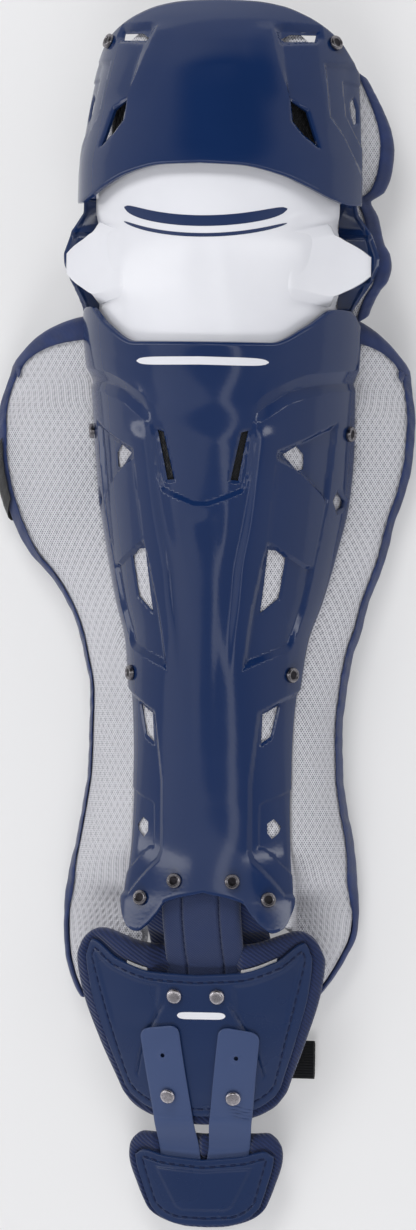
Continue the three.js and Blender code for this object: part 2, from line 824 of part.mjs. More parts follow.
function kneePadFront(s, y) {
  const place = (y - KNEE_PAD_START) / KNEE_PAD_LENGTH;
  const side = Math.sign(s);
  const away = Math.abs(s);
  const half = (KNEE_WIDTH / 2) * read(KNEE_PAD_ROWS, 'half', place);
  const crest = read(KNEE_PAD_ROWS, 'crest', place);
  const edge = Math.min(KNEE_PAD_EDGE_HEIGHT, crest - 0.12);
  const sweep = THREE.MathUtils.degToRad(80);
  if (away <= 0.5) {
    const angle = 2 * s * sweep;
    const fall = (1 - Math.cos(angle)) / (1 - Math.cos(sweep));
    return vec((half * Math.sin(angle)) / Math.sin(sweep), y, HEIGHT * mix(crest, edge, fall));
  }
  const reach = (KNEE_WIDTH / 2) * read(KNEE_PAD_ROWS, side < 0 ? 'left' : 'right', place);
  const base = { x: half, z: HEIGHT * edge };
  const tip = { x: reach, z: HEIGHT * read(KNEE_PAD_ROWS, 'height', place) };
  const knot = { x: base.x + 0.5, z: mix(tip.z, base.z, 0.45) };
  const shoulder = { x: mix(base.x, tip.x, 0.55), z: mix(tip.z, base.z, 0.27) };
  const p = wing(base, knot, shoulder, tip, (away - 0.5) * 2);
  return vec(side * p.x, y, p.z);
}

const kneePadRim = padSurfaces(kneePadFront, padThickness, along(KNEE_PAD_EDGES, KNEE_PAD_START, KNEE_PAD_LENGTH));
const FLAP_PLACES = [0.6, 0.7, 0.82, 0.92, 1];
const KNEE_PAD_COLUMNS = [
  ...FLAP_PLACES.map((place) => -place).reverse(),
  ...spread(-0.5, 0.5, 10),
  ...FLAP_PLACES,
];
const KNEE_PAD_PLACES = spread(0, 1, 18);

function kneePad() {
  return slab(kneePadRim.front, kneePadRim.back, KNEE_PAD_COLUMNS, KNEE_PAD_PLACES);
}

// Tape folded over the rim of a pad, at one side
function edging(rim, side, inner, rows, gap, thickness, reach) {
  const stations = (v) => {
    const frontRim = rim.front(side, v);
    const backRim = rim.back(side, v);
    const toFront = rim.front(side * inner, v).sub(frontRim);
    const toBack = rim.back(side * inner, v).sub(backRim);
    const share = (run) => Math.min(reach / run.length(), 0.9);
    const up = rim.front(side, Math.min(v + 0.01, 1)).sub(rim.front(side, Math.max(v - 0.01, 0))).normalize();
    const frontNormal = up.clone().cross(toFront).multiplyScalar(side).normalize();
    const backNormal = toBack.clone().cross(up).multiplyScalar(side).normalize();
    const away = toFront.clone().add(toBack).multiplyScalar(-1).setY(0).normalize();
    const list = [
      [frontRim.clone().addScaledVector(toFront, share(toFront)), frontNormal],
      [frontRim, frontNormal.clone().add(away)],
      [backRim, backNormal.clone().add(away)],
      [backRim.clone().addScaledVector(toBack, share(toBack)), backNormal],
    ];
    return side > 0 ? list : list.reverse();
  };
  const at = (lift) => (u, v) => {
    const [point, normal] = stations(v)[u];
    return point.clone().addScaledVector(normal, lift);
  };
  return slab(at(gap + thickness), at(gap), [0, 1, 2, 3], rows);
}

// Flat band through matching points of lines that run along it
function ribbon(paths, thickness) {
  const count = paths[0].length;
  const wide = paths.length - 1;
  const normalAt = (i, line) => {
    const run = paths[line][Math.min(i + 1, count - 1)].clone().sub(paths[line][Math.max(i - 1, 0)]);
    const across = paths[wide][i].clone().sub(paths[0][i]);
    return run.cross(across).normalize();
  };
  const top = (i, line) => paths[line][i].clone();
  const bottom = (i, line) => top(i, line).addScaledVector(normalAt(i, line), -thickness);
  return slab(top, bottom, spread(0, count - 1, count - 1), spread(0, wide, wide));
}

// Straps across the back: sewn to the pad at each side, flat on the floor between
function backStrap(rim, placeOf, width, sewn, landing) {
  const edgePath = (offset) => {
    const hug = (s) => {
      const v = placeOf(s, offset);
      const p = rim.back(s, v);
      const ahead = rim.back(s - Math.sign(s) * 0.02, v).sub(p).setY(0).normalize();
      const down = vec(ahead.z, 0, -ahead.x).multiplyScalar(Math.sign(s) < 0 ? 1 : -1);
      return p.addScaledVector(down, 2 * CLEARANCE);
    };
    const left = sewn.map((s) => hug(-s));
    const right = sewn.map((s) => hug(s)).reverse();
    const lie = (p, turn) => vec(p.x + turn * landing, p.y, STRAP_THICKNESS);
    const start = lie(left[left.length - 1], 1);
    const end = lie(right[0], -1);
    const floor = spread(0, 1, 4).map((share) => start.clone().lerp(end, share));
    return [...left, ...floor, ...right];
  };
  return ribbon(spread(-width / 2, width / 2, 3).map(edgePath), STRAP_THICKNESS);
}

// Place v on a pad rim where the surface passes a given height up the guard
function placeAt(yAt, y) {
  return (s, offset) => {
    const low = yAt(s, 0);
    const high = yAt(s, 1);
    return (y + offset - low) / (high - low);
  };
}

// Ankle and toe: soft pads under sewn plates
function plateOn(f, edges, columns, rows, reach) {
  return shell(f, edges, columns, rows, reach);
}

function padUnder(f, edges, columns, rows, thickness) {
  const span = (u, v) => mix(read(edges, 'bottom', Math.abs(u)), read(edges, 'top', Math.abs(u)), v);
  const front = (u, v) => pointOn(f, u, span(u, v), UNDER_SHELL);
  const back = (u, v) => pointOn(f, u, span(u, v), UNDER_SHELL - thickness);
  return slab(front, back, spread(-1, 1, columns), spread(0, 1, rows));
}

// Tongue: from under the shin shell to under the ankle plate
const TONGUE_ROWS = table('at height thickness', [
  [0.00, 0.396, 0.34],
  [0.12, 0.413, 0.34],
  [0.24, 0.437, 0.42],
  [0.36, 0.495, 0.85],
  [0.50, 0.545, 1.00],
  [0.68, 0.590, 1.00],
  [0.82, 0.602, 1.00],
  [1.00, 0.605, 1.00],
]);
const TONGUE_START = ANKLE_START + ANKLE_LENGTH * 0.655;
const TONGUE_END = SHIN_START + SHIN_LENGTH * 0.102;

function tongueBody(grow) {
  const point = (u, v, lift) => vec(
    FOOT_SHIFT * 0.4 + u * (TONGUE_WIDTH / 2 + grow),
    mix(TONGUE_START - grow, TONGUE_END + grow, v),
    HEIGHT * (read(TONGUE_ROWS, 'height', v) - 0.022 * u * u) + lift,
  );
  const front = (u, v) => point(u, v, grow);
  const back = (u, v) => point(u, v, -TONGUE_THICKNESS * read(TONGUE_ROWS, 'thickness', v) - grow);
  return slab(front, back, spread(-1, 1, 6), TONGUE_ROWS.map((row) => row.at));
}

const LINER_ROWS = table('at height half', [
  [0.00, 0.320, 0.85],
  [0.17, 0.335, 0.95],
  [0.34, 0.360, 1.00],
  [0.46, 0.420, 1.00],
  [0.60, 0.475, 1.00],
  [0.78, 0.518, 1.00],
  [1.00, 0.532, 0.95],
]);

function linerBody() {
  const start = ANKLE_START + ANKLE_LENGTH * 0.81;
  const end = SHIN_START + SHIN_LENGTH * 0.078;
  const half = GUARD_WIDTH * 0.212;
  const point = (u, v, lift) => vec(
    FOOT_SHIFT * 0.4 + u * half * read(LINER_ROWS, 'half', v),
    mix(start, end, v),
    HEIGHT * (read(LINER_ROWS, 'height', v) - 0.03 * u * u) + lift,
  );
  const front = (u, v) => point(u, v, 0);
  const back = (u, v) => point(u, v, -LINER_THICKNESS);
  return slab(front, back, spread(-1, 1, 8), LINER_ROWS.map((row) => row.at));
}

// Toe straps: over the ankle plate, across the gap and under the toe plate
const STRAP_STEPS = spread(0, 1, 14);

function toeStrapPaths(row, grow = 0) {
  const top = onForm(ankle, row.topAcross, row.topAlong);
  const end = onForm(toe, row.endAcross, row.endAlong);
  const run = end.clone().sub(top).setZ(0).normalize();
  const wide = vec(-run.y, run.x, 0);
  const lastOnAnkle = ANKLE_START + ANKLE_LENGTH * 0.03;
  const firstOnToe = TOE_LENGTH * 0.86;
  const lipHeight = (x) => {
    const across = acrossAt(ankle, 0.03, x - FOOT_SHIFT);
    return pointOn(ankle, across, 0.03, STRAP_LAYER).z;
  };
  const toeHeight = (x, y) => {
    const share = y / TOE_LENGTH;
    return pointOn(toe, acrossAt(toe, share, x - FOOT_SHIFT), share, UNDER_SHELL).z;
  };
  const heightAt = (x, y) => {
    if (y > lastOnAnkle) {
      const share = (y - ANKLE_START) / ANKLE_LENGTH;
      return pointOn(ankle, acrossAt(ankle, share, x - FOOT_SHIFT), share, STRAP_LAYER).z;
    }
    if (y > firstOnToe) {
      const share = (y - firstOnToe) / (lastOnAnkle - firstOnToe);
      return mix(toeHeight(x, firstOnToe), lipHeight(x), smooth(share, 0, 1));
    }
    return toeHeight(x, y);
  };
  const reachOut = 1 + grow / TOE_LENGTH;
  const edge = (side) => STRAP_STEPS.map((share) => {
    const p = top.clone().lerp(end, share * reachOut).addScaledVector(wide, side * (TOE_STRAP_WIDTH / 2 + grow));
    return p.setZ(heightAt(p.x, p.y) + grow);
  });
  return spread(-1, 1, 4).map(edge);
}

function toeStrapRow(side) {
  return TOE_STRAPS.find((row) => row.side === side);
}

function toeStrapHoles(side) {
  const row = toeStrapRow(side);
  const at = (share) => {
    const top = onForm(ankle, row.topAcross, row.topAlong);
    const end = onForm(toe, row.endAcross, row.endAlong);
    const p = top.lerp(end, share);
    const along = (p.y - ANKLE_START) / ANKLE_LENGTH;
    return { f: ankle, across: acrossAt(ankle, along, p.x - FOOT_SHIFT), along, base: STRAP_LAYER };
  };
  return { spare: at(0.2), riveted: at(0.47) };
}

function toeStrap(side) {
  const { spare, riveted } = toeStrapHoles(side);
  return ribbon(toeStrapPaths(toeStrapRow(side)), TOE_STRAP_THICKNESS)
    .subtract(rivetHole(spare, 1, -2, 8))
    .subtract(rivetHole(riveted, 1, -2, 8));
}

function anklePlate() {
  let plate = plateOn(ankle, ANKLE_PLATE_EDGES, 14, 9, 0.92);
  for (const side of [-1, 1]) {
    plate = plate.subtract(rivetHole(toeStrapHoles(side).riveted, 1, -SHELL_WALL - 2, 3));
  }
  return withRivetHoles(plate, ankle);
}

function anklePad() {
  return padUnder(ankle, ANKLE_PAD_EDGES, 14, 9, PAD_UNDER_SHELL)
    .subtract(tongueBody(CLEARANCE));
}

function toePad() {
  let pad = padUnder(toe, TOE_PAD_EDGES, 12, 5, PAD_UNDER_SHELL - 1);
  for (const side of [-1, 1]) {
    const paths = toeStrapPaths(toeStrapRow(side), CLEARANCE);
    pad = pad.subtract(ribbon(paths, TOE_STRAP_THICKNESS + 2 * CLEARANCE));
  }
  return pad;
}

// Ankle strap: sewn behind the ankle pad at the left, its free end out at the right
function ankleStrap() {
  const y = ANKLE_START + ANKLE_LENGTH * 0.33;
  const width = STRAP_WIDTH * 0.6;
  const edgePath = (offset) => {
    const share = (y + offset - ANKLE_START) / ANKLE_LENGTH;
    const hug = (u) => pointOn(ankle, u, share, UNDER_SHELL - PAD_UNDER_SHELL - 9 * CLEARANCE).setY(y + offset);
    const reach = GUARD_WIDTH;
    return [
      hug(-0.6),
      vec(-0.225 * reach, y + offset, HEIGHT * 0.12),
      vec(-0.205 * reach, y + offset, HEIGHT * 0.04),
      vec(-0.165 * reach, y + offset, STRAP_THICKNESS),
      vec(-0.08 * reach, y + offset, STRAP_THICKNESS),
      vec(0.08 * reach, y + offset, STRAP_THICKNESS),
      vec(0.23 * reach, y + offset, STRAP_THICKNESS),
      vec(0.29 * reach, y + offset, STRAP_THICKNESS * 2),
      vec(0.34 * reach, y + offset, STRAP_THICKNESS * 3.6),
    ];
  };
  return ribbon(spread(-width / 2, width / 2, 2).map(edgePath), STRAP_THICKNESS);
}

const shinYAt = along(SHIN_PAD_EDGES, SHIN_START, SHIN_LENGTH);
const kneeYAt = along(KNEE_PAD_EDGES, KNEE_PAD_START, KNEE_PAD_LENGTH);
const CALF_STRAPS = [
  { name: 'strap_calf_upper', along: 0.775 },
  { name: 'strap_calf_middle', along: 0.470 },
  { name: 'strap_calf_lower', along: 0.200 },
];
const SEWN_PLACES = [0.88, 0.8];

const guard = new THREE.Group();
guard.name = 'leg_guard';
const root = new THREE.Group();
root.name = 'catcher_leg_guard';
root.add(guard);

function piece(name, solid, finish) {
  const made = solid.getMesh();
  const geometry = new THREE.BufferGeometry();
  geometry.setAttribute('position', new THREE.BufferAttribute(Float32Array.from(made.vertProperties), 3));
  geometry.setIndex(new THREE.BufferAttribute(Uint32Array.from(made.triVerts), 1));
  geometry.computeVertexNormals();
  const mesh = new THREE.Mesh(geometry, new THREE.MeshStandardMaterial(finish));
  mesh.name = name;
  guard.add(mesh);
}

piece('thigh_cap', thighCap(), NAVY_GLOSS);
piece('knee_cap', kneeCap(), WHITE_GLOSS);
piece('shin_shell', shinShell(), NAVY_GLOSS);
piece('side_link_left', sideLink(-1), NAVY_GLOSS);
piece('side_link_right', sideLink(1), NAVY_GLOSS);
piece('knee_pad', kneePad(), WHITE_MESH);
piece('shin_pad', shinPad(), WHITE_MESH);

const kneeTaped = KNEE_PAD_PLACES.slice(0);
const shinTaped = SHIN_PAD_ROWS.slice(0);
for (const [side, label] of [[-1, 'left'], [1, 'right']]) {
  const kneeTape = edging(kneePadRim, side, 0.92, kneeTaped, BINDING_GAP, BINDING_THICKNESS, BINDING_REACH);
  const shinTape = edging(shinPadRim, side, 0.94, shinTaped, BINDING_GAP, BINDING_THICKNESS, BINDING_REACH);
  piece(`knee_pad_binding_${label}`, kneeTape, NAVY_CLOTH);
  piece(`shin_pad_binding_${label}`, shinTape, NAVY_CLOTH);
}
const tabPlaces = spread(0.775, 0.872, 3);
piece('label_tab', edging(shinPadRim, -1, 0.9, tabPlaces, 2.4 * BINDING_GAP + BINDING_THICKNESS, 0.8, 8), BLACK_CLOTH);

piece('tongue', tongueBody(0), NAVY_CLOTH);
piece('ankle_liner', linerBody(), NAVY_CLOTH);
piece('ankle_pad', anklePad(), NAVY_CLOTH);
piece('ankle_plate', anklePlate(), NAVY_GLOSS);
piece('toe_pad', toePad(), NAVY_CLOTH);
piece('toe_plate', plateOn(toe, TOE_PLATE_EDGES, 12, 5, 0.88), NAVY_GLOSS);

for (const [side, label] of [[-1, 'left'], [1, 'right']]) {
  piece(`toe_strap_${label}`, toeStrap(side), NAVY_STRAP);
  piece(`rivet_toe_strap_${label}`, rivet(toeStrapHoles(side).riveted, 1), GUNMETAL);
  for (const place of RIVETS) {
    piece(`${place.name}_${label}`, rivet(place, side), GUNMETAL);
  }
}

for (const strap of CALF_STRAPS) {
  const place = placeAt(shinYAt, SHIN_START + SHIN_LENGTH * strap.along);
  piece(strap.name, backStrap(shinPadRim, place, STRAP_WIDTH, SEWN_PLACES, 8), BLACK_CLOTH);
}
const kneePlace = placeAt(kneeYAt, KNEE_PAD_START + KNEE_PAD_LENGTH * 0.59);
piece('strap_knee', backStrap(kneePadRim, kneePlace, STRAP_WIDTH, SEWN_PLACES, 12), BLACK_CLOTH);
piece('strap_ankle', ankleStrap(), BLACK_CLOTH);

// The frame sits at the middle of the footprint, on the floor
const box = new THREE.Box3().setFromObject(guard);
const middle = box.getCenter(new THREE.Vector3());
guard.position.set(-middle.x, -middle.y, -box.min.z);

export default root;
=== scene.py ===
"""A catcher's leg guard lying on its straps: glossy shells, mesh pads, folded tape and straps.

Every piece is shaped in the part's own place, with the knee end up the Y axis, and then put
into the frame's place. Lengths are metres, and a share is a fraction of a named length.
"""

import math

import bmesh
import bpy
import numpy as np
from mathutils import Matrix, Vector


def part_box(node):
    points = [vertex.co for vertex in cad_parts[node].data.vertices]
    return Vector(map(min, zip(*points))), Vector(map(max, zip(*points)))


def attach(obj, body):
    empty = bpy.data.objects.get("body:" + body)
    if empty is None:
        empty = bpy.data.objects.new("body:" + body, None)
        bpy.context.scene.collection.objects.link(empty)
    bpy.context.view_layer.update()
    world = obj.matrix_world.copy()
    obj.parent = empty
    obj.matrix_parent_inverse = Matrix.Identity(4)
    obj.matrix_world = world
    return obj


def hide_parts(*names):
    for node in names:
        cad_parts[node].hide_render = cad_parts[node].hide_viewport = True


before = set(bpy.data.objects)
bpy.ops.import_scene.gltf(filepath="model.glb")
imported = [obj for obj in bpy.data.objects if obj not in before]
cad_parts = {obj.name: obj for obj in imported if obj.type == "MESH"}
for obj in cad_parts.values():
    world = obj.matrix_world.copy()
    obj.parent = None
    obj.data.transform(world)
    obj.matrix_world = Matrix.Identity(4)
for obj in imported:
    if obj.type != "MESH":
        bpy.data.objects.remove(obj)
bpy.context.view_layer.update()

# Named sizes, the same as the part's own
HEIGHT = 0.117
GUARD_WIDTH = 0.174
TOE_LENGTH = 0.060
TOE_GAP = 0.005
ANKLE_LENGTH = 0.116
SHIN_LENGTH = 0.374
KNEE_LENGTH = 0.130
THIGH_LENGTH = 0.124
KNEE_UNDER_SHIN = 0.032
THIGH_OVER_KNEE = 0.036
SHELL_WALL = 0.003
CLEARANCE = 0.0004
PAD_THICKNESS = 0.012
PAD_UNDER_SHELL = 0.009
PAD_RIM = 0.005
LINK_THICKNESS = 0.0025
TONGUE_WIDTH = 0.0477
TONGUE_THICKNESS = 0.007
LINER_THICKNESS = 0.005
FOOT_SHIFT = -0.0080
TAPE_THICKNESS = 0.0012
TAPE_REACH = 0.0066
TAPE_GAP = 0.00097
TAB_REACH = 0.0095
TAB_THICKNESS = 0.0008
TOE_STRAP_WIDTH = 0.0245
TOE_STRAP_THICKNESS = 0.0018
RIVET_HEAD = 0.0046
RIVET_SHANK = 0.002
RIVET_HEIGHT = 0.0024
STRAP_WIDTH = 0.038
STRAP_THICKNESS = 0.0018
FILM_THICKNESS = 0.00012

THIGH_WIDTH = GUARD_WIDTH
SHIN_WIDTH = GUARD_WIDTH * 0.977
KNEE_WIDTH = GUARD_WIDTH * 0.856
ANKLE_WIDTH = GUARD_WIDTH * 0.868
TOE_WIDTH = GUARD_WIDTH * 0.54
ANKLE_START = TOE_LENGTH + TOE_GAP
SHIN_START = ANKLE_START + ANKLE_LENGTH - 0.003
KNEE_START = SHIN_START + SHIN_LENGTH - KNEE_UNDER_SHIN
THIGH_START = KNEE_START + KNEE_LENGTH - THIGH_OVER_KNEE
UNDER_SHELL = -(SHELL_WALL + CLEARANCE)
PAD_LIFT = -(SHELL_WALL + 2 * CLEARANCE)

# Place of the part's own origin in the frame
PART_PLACE = np.array([
    (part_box("shin_shell")[0][0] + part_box("shin_shell")[1][0]) / 2,
    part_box("knee_cap")[0][1] - KNEE_START,
    0,
])

# Fineness of the meshes
SHELL_CELL = 0.0017
FOOT_CELL = 0.0026
SCORE_WIDTH = 0.0006
EDGE_DROP = 0.00045
VENT_BEVEL = 0.0016
VENT_DROP = 0.0011
DEEPEST = -0.0026
PAD_CELL = 0.0052

# Colours, as the photo's own values from 0 to 255
NAVY = (19, 41, 82)
NAVY_SATIN = (22, 42, 80)
NAVY_TAPE = (26, 42, 84)
NAVY_TWILL = (28, 44, 88)
NAVY_KNIT = (50, 64, 104)
NAVY_THREAD = (24, 38, 78)
STRAP_BLUE = (58, 74, 112)
MESH_WHITE = (220, 220, 225)
MESH_HOLE = (62, 66, 82)
CAP_WHITE = (226, 227, 232)
# Black of the elastic webbing, also used as painted shade behind the vents on the mesh pads
BLACK_WEB_AND_SHADE = (17, 18, 20)
GUNMETAL = (146, 143, 146)
BRIGHT_STEEL = (214, 209, 213)
RIVET_DARK = (54, 52, 56)
BACKING_WHITE = (214, 214, 216)
FLOOR_GREY = (198, 198, 199)
FLOOR_PALE = (201, 201, 202)


def table(columns, rows):
    """Columns of a table, each under its name."""
    values = np.array(rows, float)
    return {name: values[:, i] for i, name in enumerate(columns.split())}


def read(rows, column, at):
    """Smooth value of a column at places between the rows, without overshoot."""
    places = rows["at"]
    values = rows[column]
    last = len(places) - 1
    place = np.clip(at, places[0], places[last])
    rise = np.diff(values) / np.diff(places)
    before = rise[:-1]
    after = rise[1:]
    total = np.where(before + after == 0, 1, before + after)
    middle = np.where(before * after <= 0, 0, 2 * before * after / total)
    slopes = np.concatenate([rise[:1], middle, rise[-1:]])
    k = np.clip(np.searchsorted(places, place, side="right") - 1, 0, last - 1)
    span = places[k + 1] - places[k]
    s = (place - places[k]) / span
    bend = s * (1 - s) * ((1 - s) * (slopes[k] - rise[k]) - s * (slopes[k + 1] - rise[k])) * span
    return values[k] + (values[k + 1] - values[k]) * s + bend


def mix(a, b, share):
    return a + (b - a) * share


def smooth(value, low, high):
    share = np.clip((value - low) / (high - low), 0, 1)
    return share * share * (3 - 2 * share)


def ramp(value, low, high):
    return np.clip((value - low) / (high - low), 0, 1)


def unit(vectors):
    return vectors / np.maximum(np.linalg.norm(vectors, axis=-1, keepdims=True), 1e-12)


# Arched forms: width, crest and drop along the length, as shares of the named sizes
SHIN_ROWS = table("at width crest drop", [
    [0.000, 0.632, 0.660, 0.120],
    [0.053, 0.632, 0.645, 0.128],
    [0.134, 0.604, 0.632, 0.162],
    [0.214, 0.592, 0.645, 0.188],
    [0.278, 0.592, 0.662, 0.214],
    [0.342, 0.602, 0.684, 0.239],
    [0.406, 0.628, 0.709, 0.282],
    [0.471, 0.664, 0.735, 0.342],
    [0.535, 0.751, 0.761, 0.410],
    [0.615, 0.835, 0.795, 0.496],
    [0.695, 0.905, 0.838, 0.573],
    [0.775, 0.936, 0.872, 0.598],
    [0.868, 0.953, 0.906, 0.581],
    [0.952, 1.000, 0.957, 0.575],
    [1.000, 1.000, 0.983, 0.580],
])
KNEE_ROWS = table("at width crest drop", [
    [0.00, 0.92, 0.900, 0.430],
    [0.15, 0.96, 0.923, 0.430],
    [0.35, 1.00, 0.948, 0.430],
    [0.60, 1.00, 0.966, 0.435],
    [1.00, 1.00, 0.923, 0.395],
])
THIGH_ROWS = table("at width crest drop", [
    [0.000, 1.000, 1.009, 0.521],
    [0.190, 0.998, 1.000, 0.521],
    [0.371, 0.978, 0.966, 0.543],
    [0.642, 0.931, 0.889, 0.556],
    [0.782, 0.885, 0.795, 0.470],
    [0.900, 0.810, 0.684, 0.385],
    [1.000, 0.700, 0.547, 0.256],
])
ANKLE_ROWS = table("at width crest drop", [
    [0.000, 0.623, 0.274, 0.110],
    [0.100, 0.642, 0.310, 0.115],
    [0.166, 0.675, 0.335, 0.118],
    [0.415, 0.826, 0.410, 0.120],
    [0.688, 0.960, 0.462, 0.120],
    [0.838, 0.993, 0.485, 0.120],
    [1.000, 1.000, 0.500, 0.120],
])
TOE_ROWS = table("at width crest drop", [
    [0.00, 0.660, 0.170, 0.045],
    [0.16, 0.745, 0.182, 0.055],
    [0.41, 0.880, 0.205, 0.062],
    [0.75, 1.000, 0.231, 0.068],
    [1.00, 0.955, 0.244, 0.068],
])


def form(rows, start, length, width, sweep, shift=0.0):
    return {
        "rows": rows, "start": start, "length": length,
        "width": width, "sweep": math.radians(sweep), "shift": shift,
    }


shin = form(SHIN_ROWS, SHIN_START, SHIN_LENGTH, SHIN_WIDTH, 78)
knee = form(KNEE_ROWS, KNEE_START, KNEE_LENGTH, KNEE_WIDTH, 78)
thigh = form(THIGH_ROWS, THIGH_START, THIGH_LENGTH, THIGH_WIDTH, 78)
ankle = form(ANKLE_ROWS, ANKLE_START, ANKLE_LENGTH, ANKLE_WIDTH, 50, FOOT_SHIFT)
toe = form(TOE_ROWS, 0, TOE_LENGTH, TOE_WIDTH, 50, FOOT_SHIFT)


def half_width(f, along):
    return f["width"] / 2 * read(f["rows"], "width", along)


def on_form(f, across, along):
    """Points of a form at shares across and along, without lift."""
    across, along = np.broadcast_arrays(np.asarray(across, float), np.asarray(along, float))
    angle = across * f["sweep"]
    fall = (1 - np.cos(angle)) / (1 - math.cos(f["sweep"]))
    return np.stack([
        f["shift"] + half_width(f, along) * np.sin(angle) / math.sin(f["sweep"]),
        f["start"] + along * f["length"],
        HEIGHT * (read(f["rows"], "crest", along) - read(f["rows"], "drop", along) * fall),
    ], axis=-1)


def outward(f, across, along):
    step = 0.01
    side = on_form(f, across + step, along) - on_form(f, across - step, along)
    up = on_form(f, across, along + step) - on_form(f, across, along - step)
    return unit(np.cross(side, up))


def point_on(f, across, along, lift=0.0):
    lift = np.asarray(lift, float)[..., None]
    return on_form(f, across, along) + outward(f, across, along) * lift


def across_at(f, along, distance):
    """Share across of a form where it reaches a distance from its middle line."""
    return np.arcsin(distance / half_width(f, along) * math.sin(f["sweep"])) / f["sweep"]


def arc_length(f, along):
    """Length of a half section, from the crest to a share across of 1."""
    steps = np.linspace(0, 1, 13)
    points = on_form(f, steps[:, None], np.atleast_1d(along)[None, :])
    lengths = np.linalg.norm(np.diff(points, axis=0), axis=-1).sum(axis=0)
    return lengths if np.ndim(along) else lengths[0]


# Edges of the shells and pads: share along at a share across
SHIN_BOTTOM = table("at along", [
    [0.00, 0.068], [0.33, 0.052], [0.41, 0.034], [0.53, 0.014],
    [0.64, 0.005], [0.78, 0.012], [0.94, 0.040], [1.00, 0.055],
])
SHIN_TOP = table("at along", [
    [0.00, 0.944], [0.37, 0.944], [0.58, 0.972], [0.77, 1.000], [0.90, 0.998], [1.00, 0.975],
])
THIGH_BOTTOM = table("at along", [
    [0.00, 0.190], [0.20, 0.182], [0.42, 0.136], [0.56, 0.086], [0.74, 0.025], [0.87, 0.001], [1.00, 0.000],
])
THIGH_TOP = table("at along", [
    [0.000, 0.993], [0.260, 0.984], [0.455, 0.960], [0.600, 0.918],
    [0.720, 0.868], [0.838, 0.797], [0.925, 0.710], [1.000, 0.642],
])
KNEE_BOTTOM = table("at along", [[0, 0], [1, 0]])
KNEE_TOP = table("at along", [[0, 1], [1, 1]])
ANKLE_PLATE_BOTTOM = table("at along", [
    [0.000, 0.030], [0.320, 0.036], [0.585, 0.065], [0.845, 0.135], [0.900, 0.190],
])
ANKLE_PLATE_TOP = table("at along", [
    [0.000, 0.762], [0.320, 0.777], [0.585, 0.838], [0.830, 0.940], [0.900, 0.860],
])
ANKLE_PAD_BOTTOM = table("at along", [
    [0.00, -0.014], [0.40, -0.006], [0.61, 0.018], [0.74, 0.042], [0.88, 0.080], [1.00, 0.160],
])
ANKLE_PAD_TOP = table("at along", [
    [0.00, 0.900], [0.40, 0.930], [0.61, 0.978], [0.74, 1.000], [0.88, 0.965], [1.00, 0.850],
])
TOE_PLATE_BOTTOM = table("at along", [[0.00, 0.045], [0.45, 0.060], [0.75, 0.130], [0.88, 0.230]])
TOE_PLATE_TOP = table("at along", [[0.00, 0.705], [0.45, 0.745], [0.75, 0.800], [0.88, 0.750]])
TOE_PAD_BOTTOM = table("at along", [
    [0.00, 0.010], [0.30, 0.018], [0.58, 0.050], [0.82, 0.105], [0.93, 0.155], [1.00, 0.225],
])
TOE_PAD_TOP = table("at along", [
    [0.00, 0.965], [0.30, 0.965], [0.58, 0.975], [0.82, 0.985], [0.93, 0.940], [1.00, 0.850],
])

# Outlines of the panels, creases and vents of the shin shell, right side
SHIN_PANEL = table("across along", [
    [0.418, 0.775], [0.544, 0.790], [0.825, 0.822], [0.808, 0.791], [0.784, 0.698],
    [0.777, 0.588], [0.800, 0.513], [0.771, 0.461], [0.742, 0.456], [0.510, 0.440],
    [0.348, 0.427], [0.308, 0.419], [0.334, 0.525], [0.370, 0.599], [0.395, 0.629],
])
SHIN_PANEL_PAD = table("across along", [
    [0.420, 0.760], [0.550, 0.743], [0.732, 0.704], [0.762, 0.694],
    [0.762, 0.589], [0.698, 0.591], [0.553, 0.608], [0.395, 0.630],
])
SHIN_LOWER_PANEL = table("across along", [
    [0.463, 0.358], [0.730, 0.381], [1.100, 0.400], [1.100, 0.061], [0.781, 0.061],
    [0.610, 0.086], [0.403, 0.118], [0.372, 0.135], [0.386, 0.246],
])
SHIN_LOWEST_PANEL = table("across along", [
    [0.548, 0.215], [0.807, 0.228], [1.100, 0.240], [1.100, 0.090],
    [0.794, 0.111], [0.555, 0.137], [0.483, 0.139], [0.501, 0.209],
])
SHIN_SPINE = table("across along", [
    [0.352, 0.866], [0.307, 0.820], [0.275, 0.735], [0.240, 0.706], [0.045, 0.684],
    [-0.045, 0.684], [-0.240, 0.706], [-0.275, 0.735], [-0.307, 0.820], [-0.352, 0.866], [0.000, 0.880],
])
SHIN_CREASE = table("at across", [
    [0.440, 0.215], [0.503, 0.220], [0.576, 0.226], [0.650, 0.261], [0.711, 0.285], [0.811, 0.324],
])
SHIN_VENTS = [
    table("across along", [[0.459, 0.767], [0.545, 0.781], [0.594, 0.767], [0.595, 0.745], [0.557, 0.742]]),
    table("across along", [[0.414, 0.615], [0.467, 0.614], [0.544, 0.602], [0.543, 0.538], [0.419, 0.514]]),
    table("across along", [[0.531, 0.353], [0.706, 0.368], [0.633, 0.318], [0.526, 0.307]]),
    table("across along", [
        [0.596, 0.179], [0.681, 0.187], [0.790, 0.175], [0.760, 0.166], [0.653, 0.155], [0.595, 0.164],
    ]),
    table("across along", [[0.833, 0.695], [0.863, 0.711], [0.950, 0.695], [0.945, 0.686], [0.880, 0.678]]),
    table("across along", [[0.224, 0.801], [0.262, 0.804], [0.208, 0.724], [0.165, 0.725]]),
]

# Fold round the collar of the shin shell: ridge, valley and block edge at a share across
COLLAR_FOLD = table("at ridge valley block", [
    [0.30, 0.850, 0.832, 0.814],
    [0.35, 0.864, 0.842, 0.822],
    [0.49, 0.886, 0.867, 0.848],
    [0.59, 0.896, 0.874, 0.857],
    [0.76, 0.901, 0.880, 0.868],
    [1.10, 0.907, 0.883, 0.873],
])

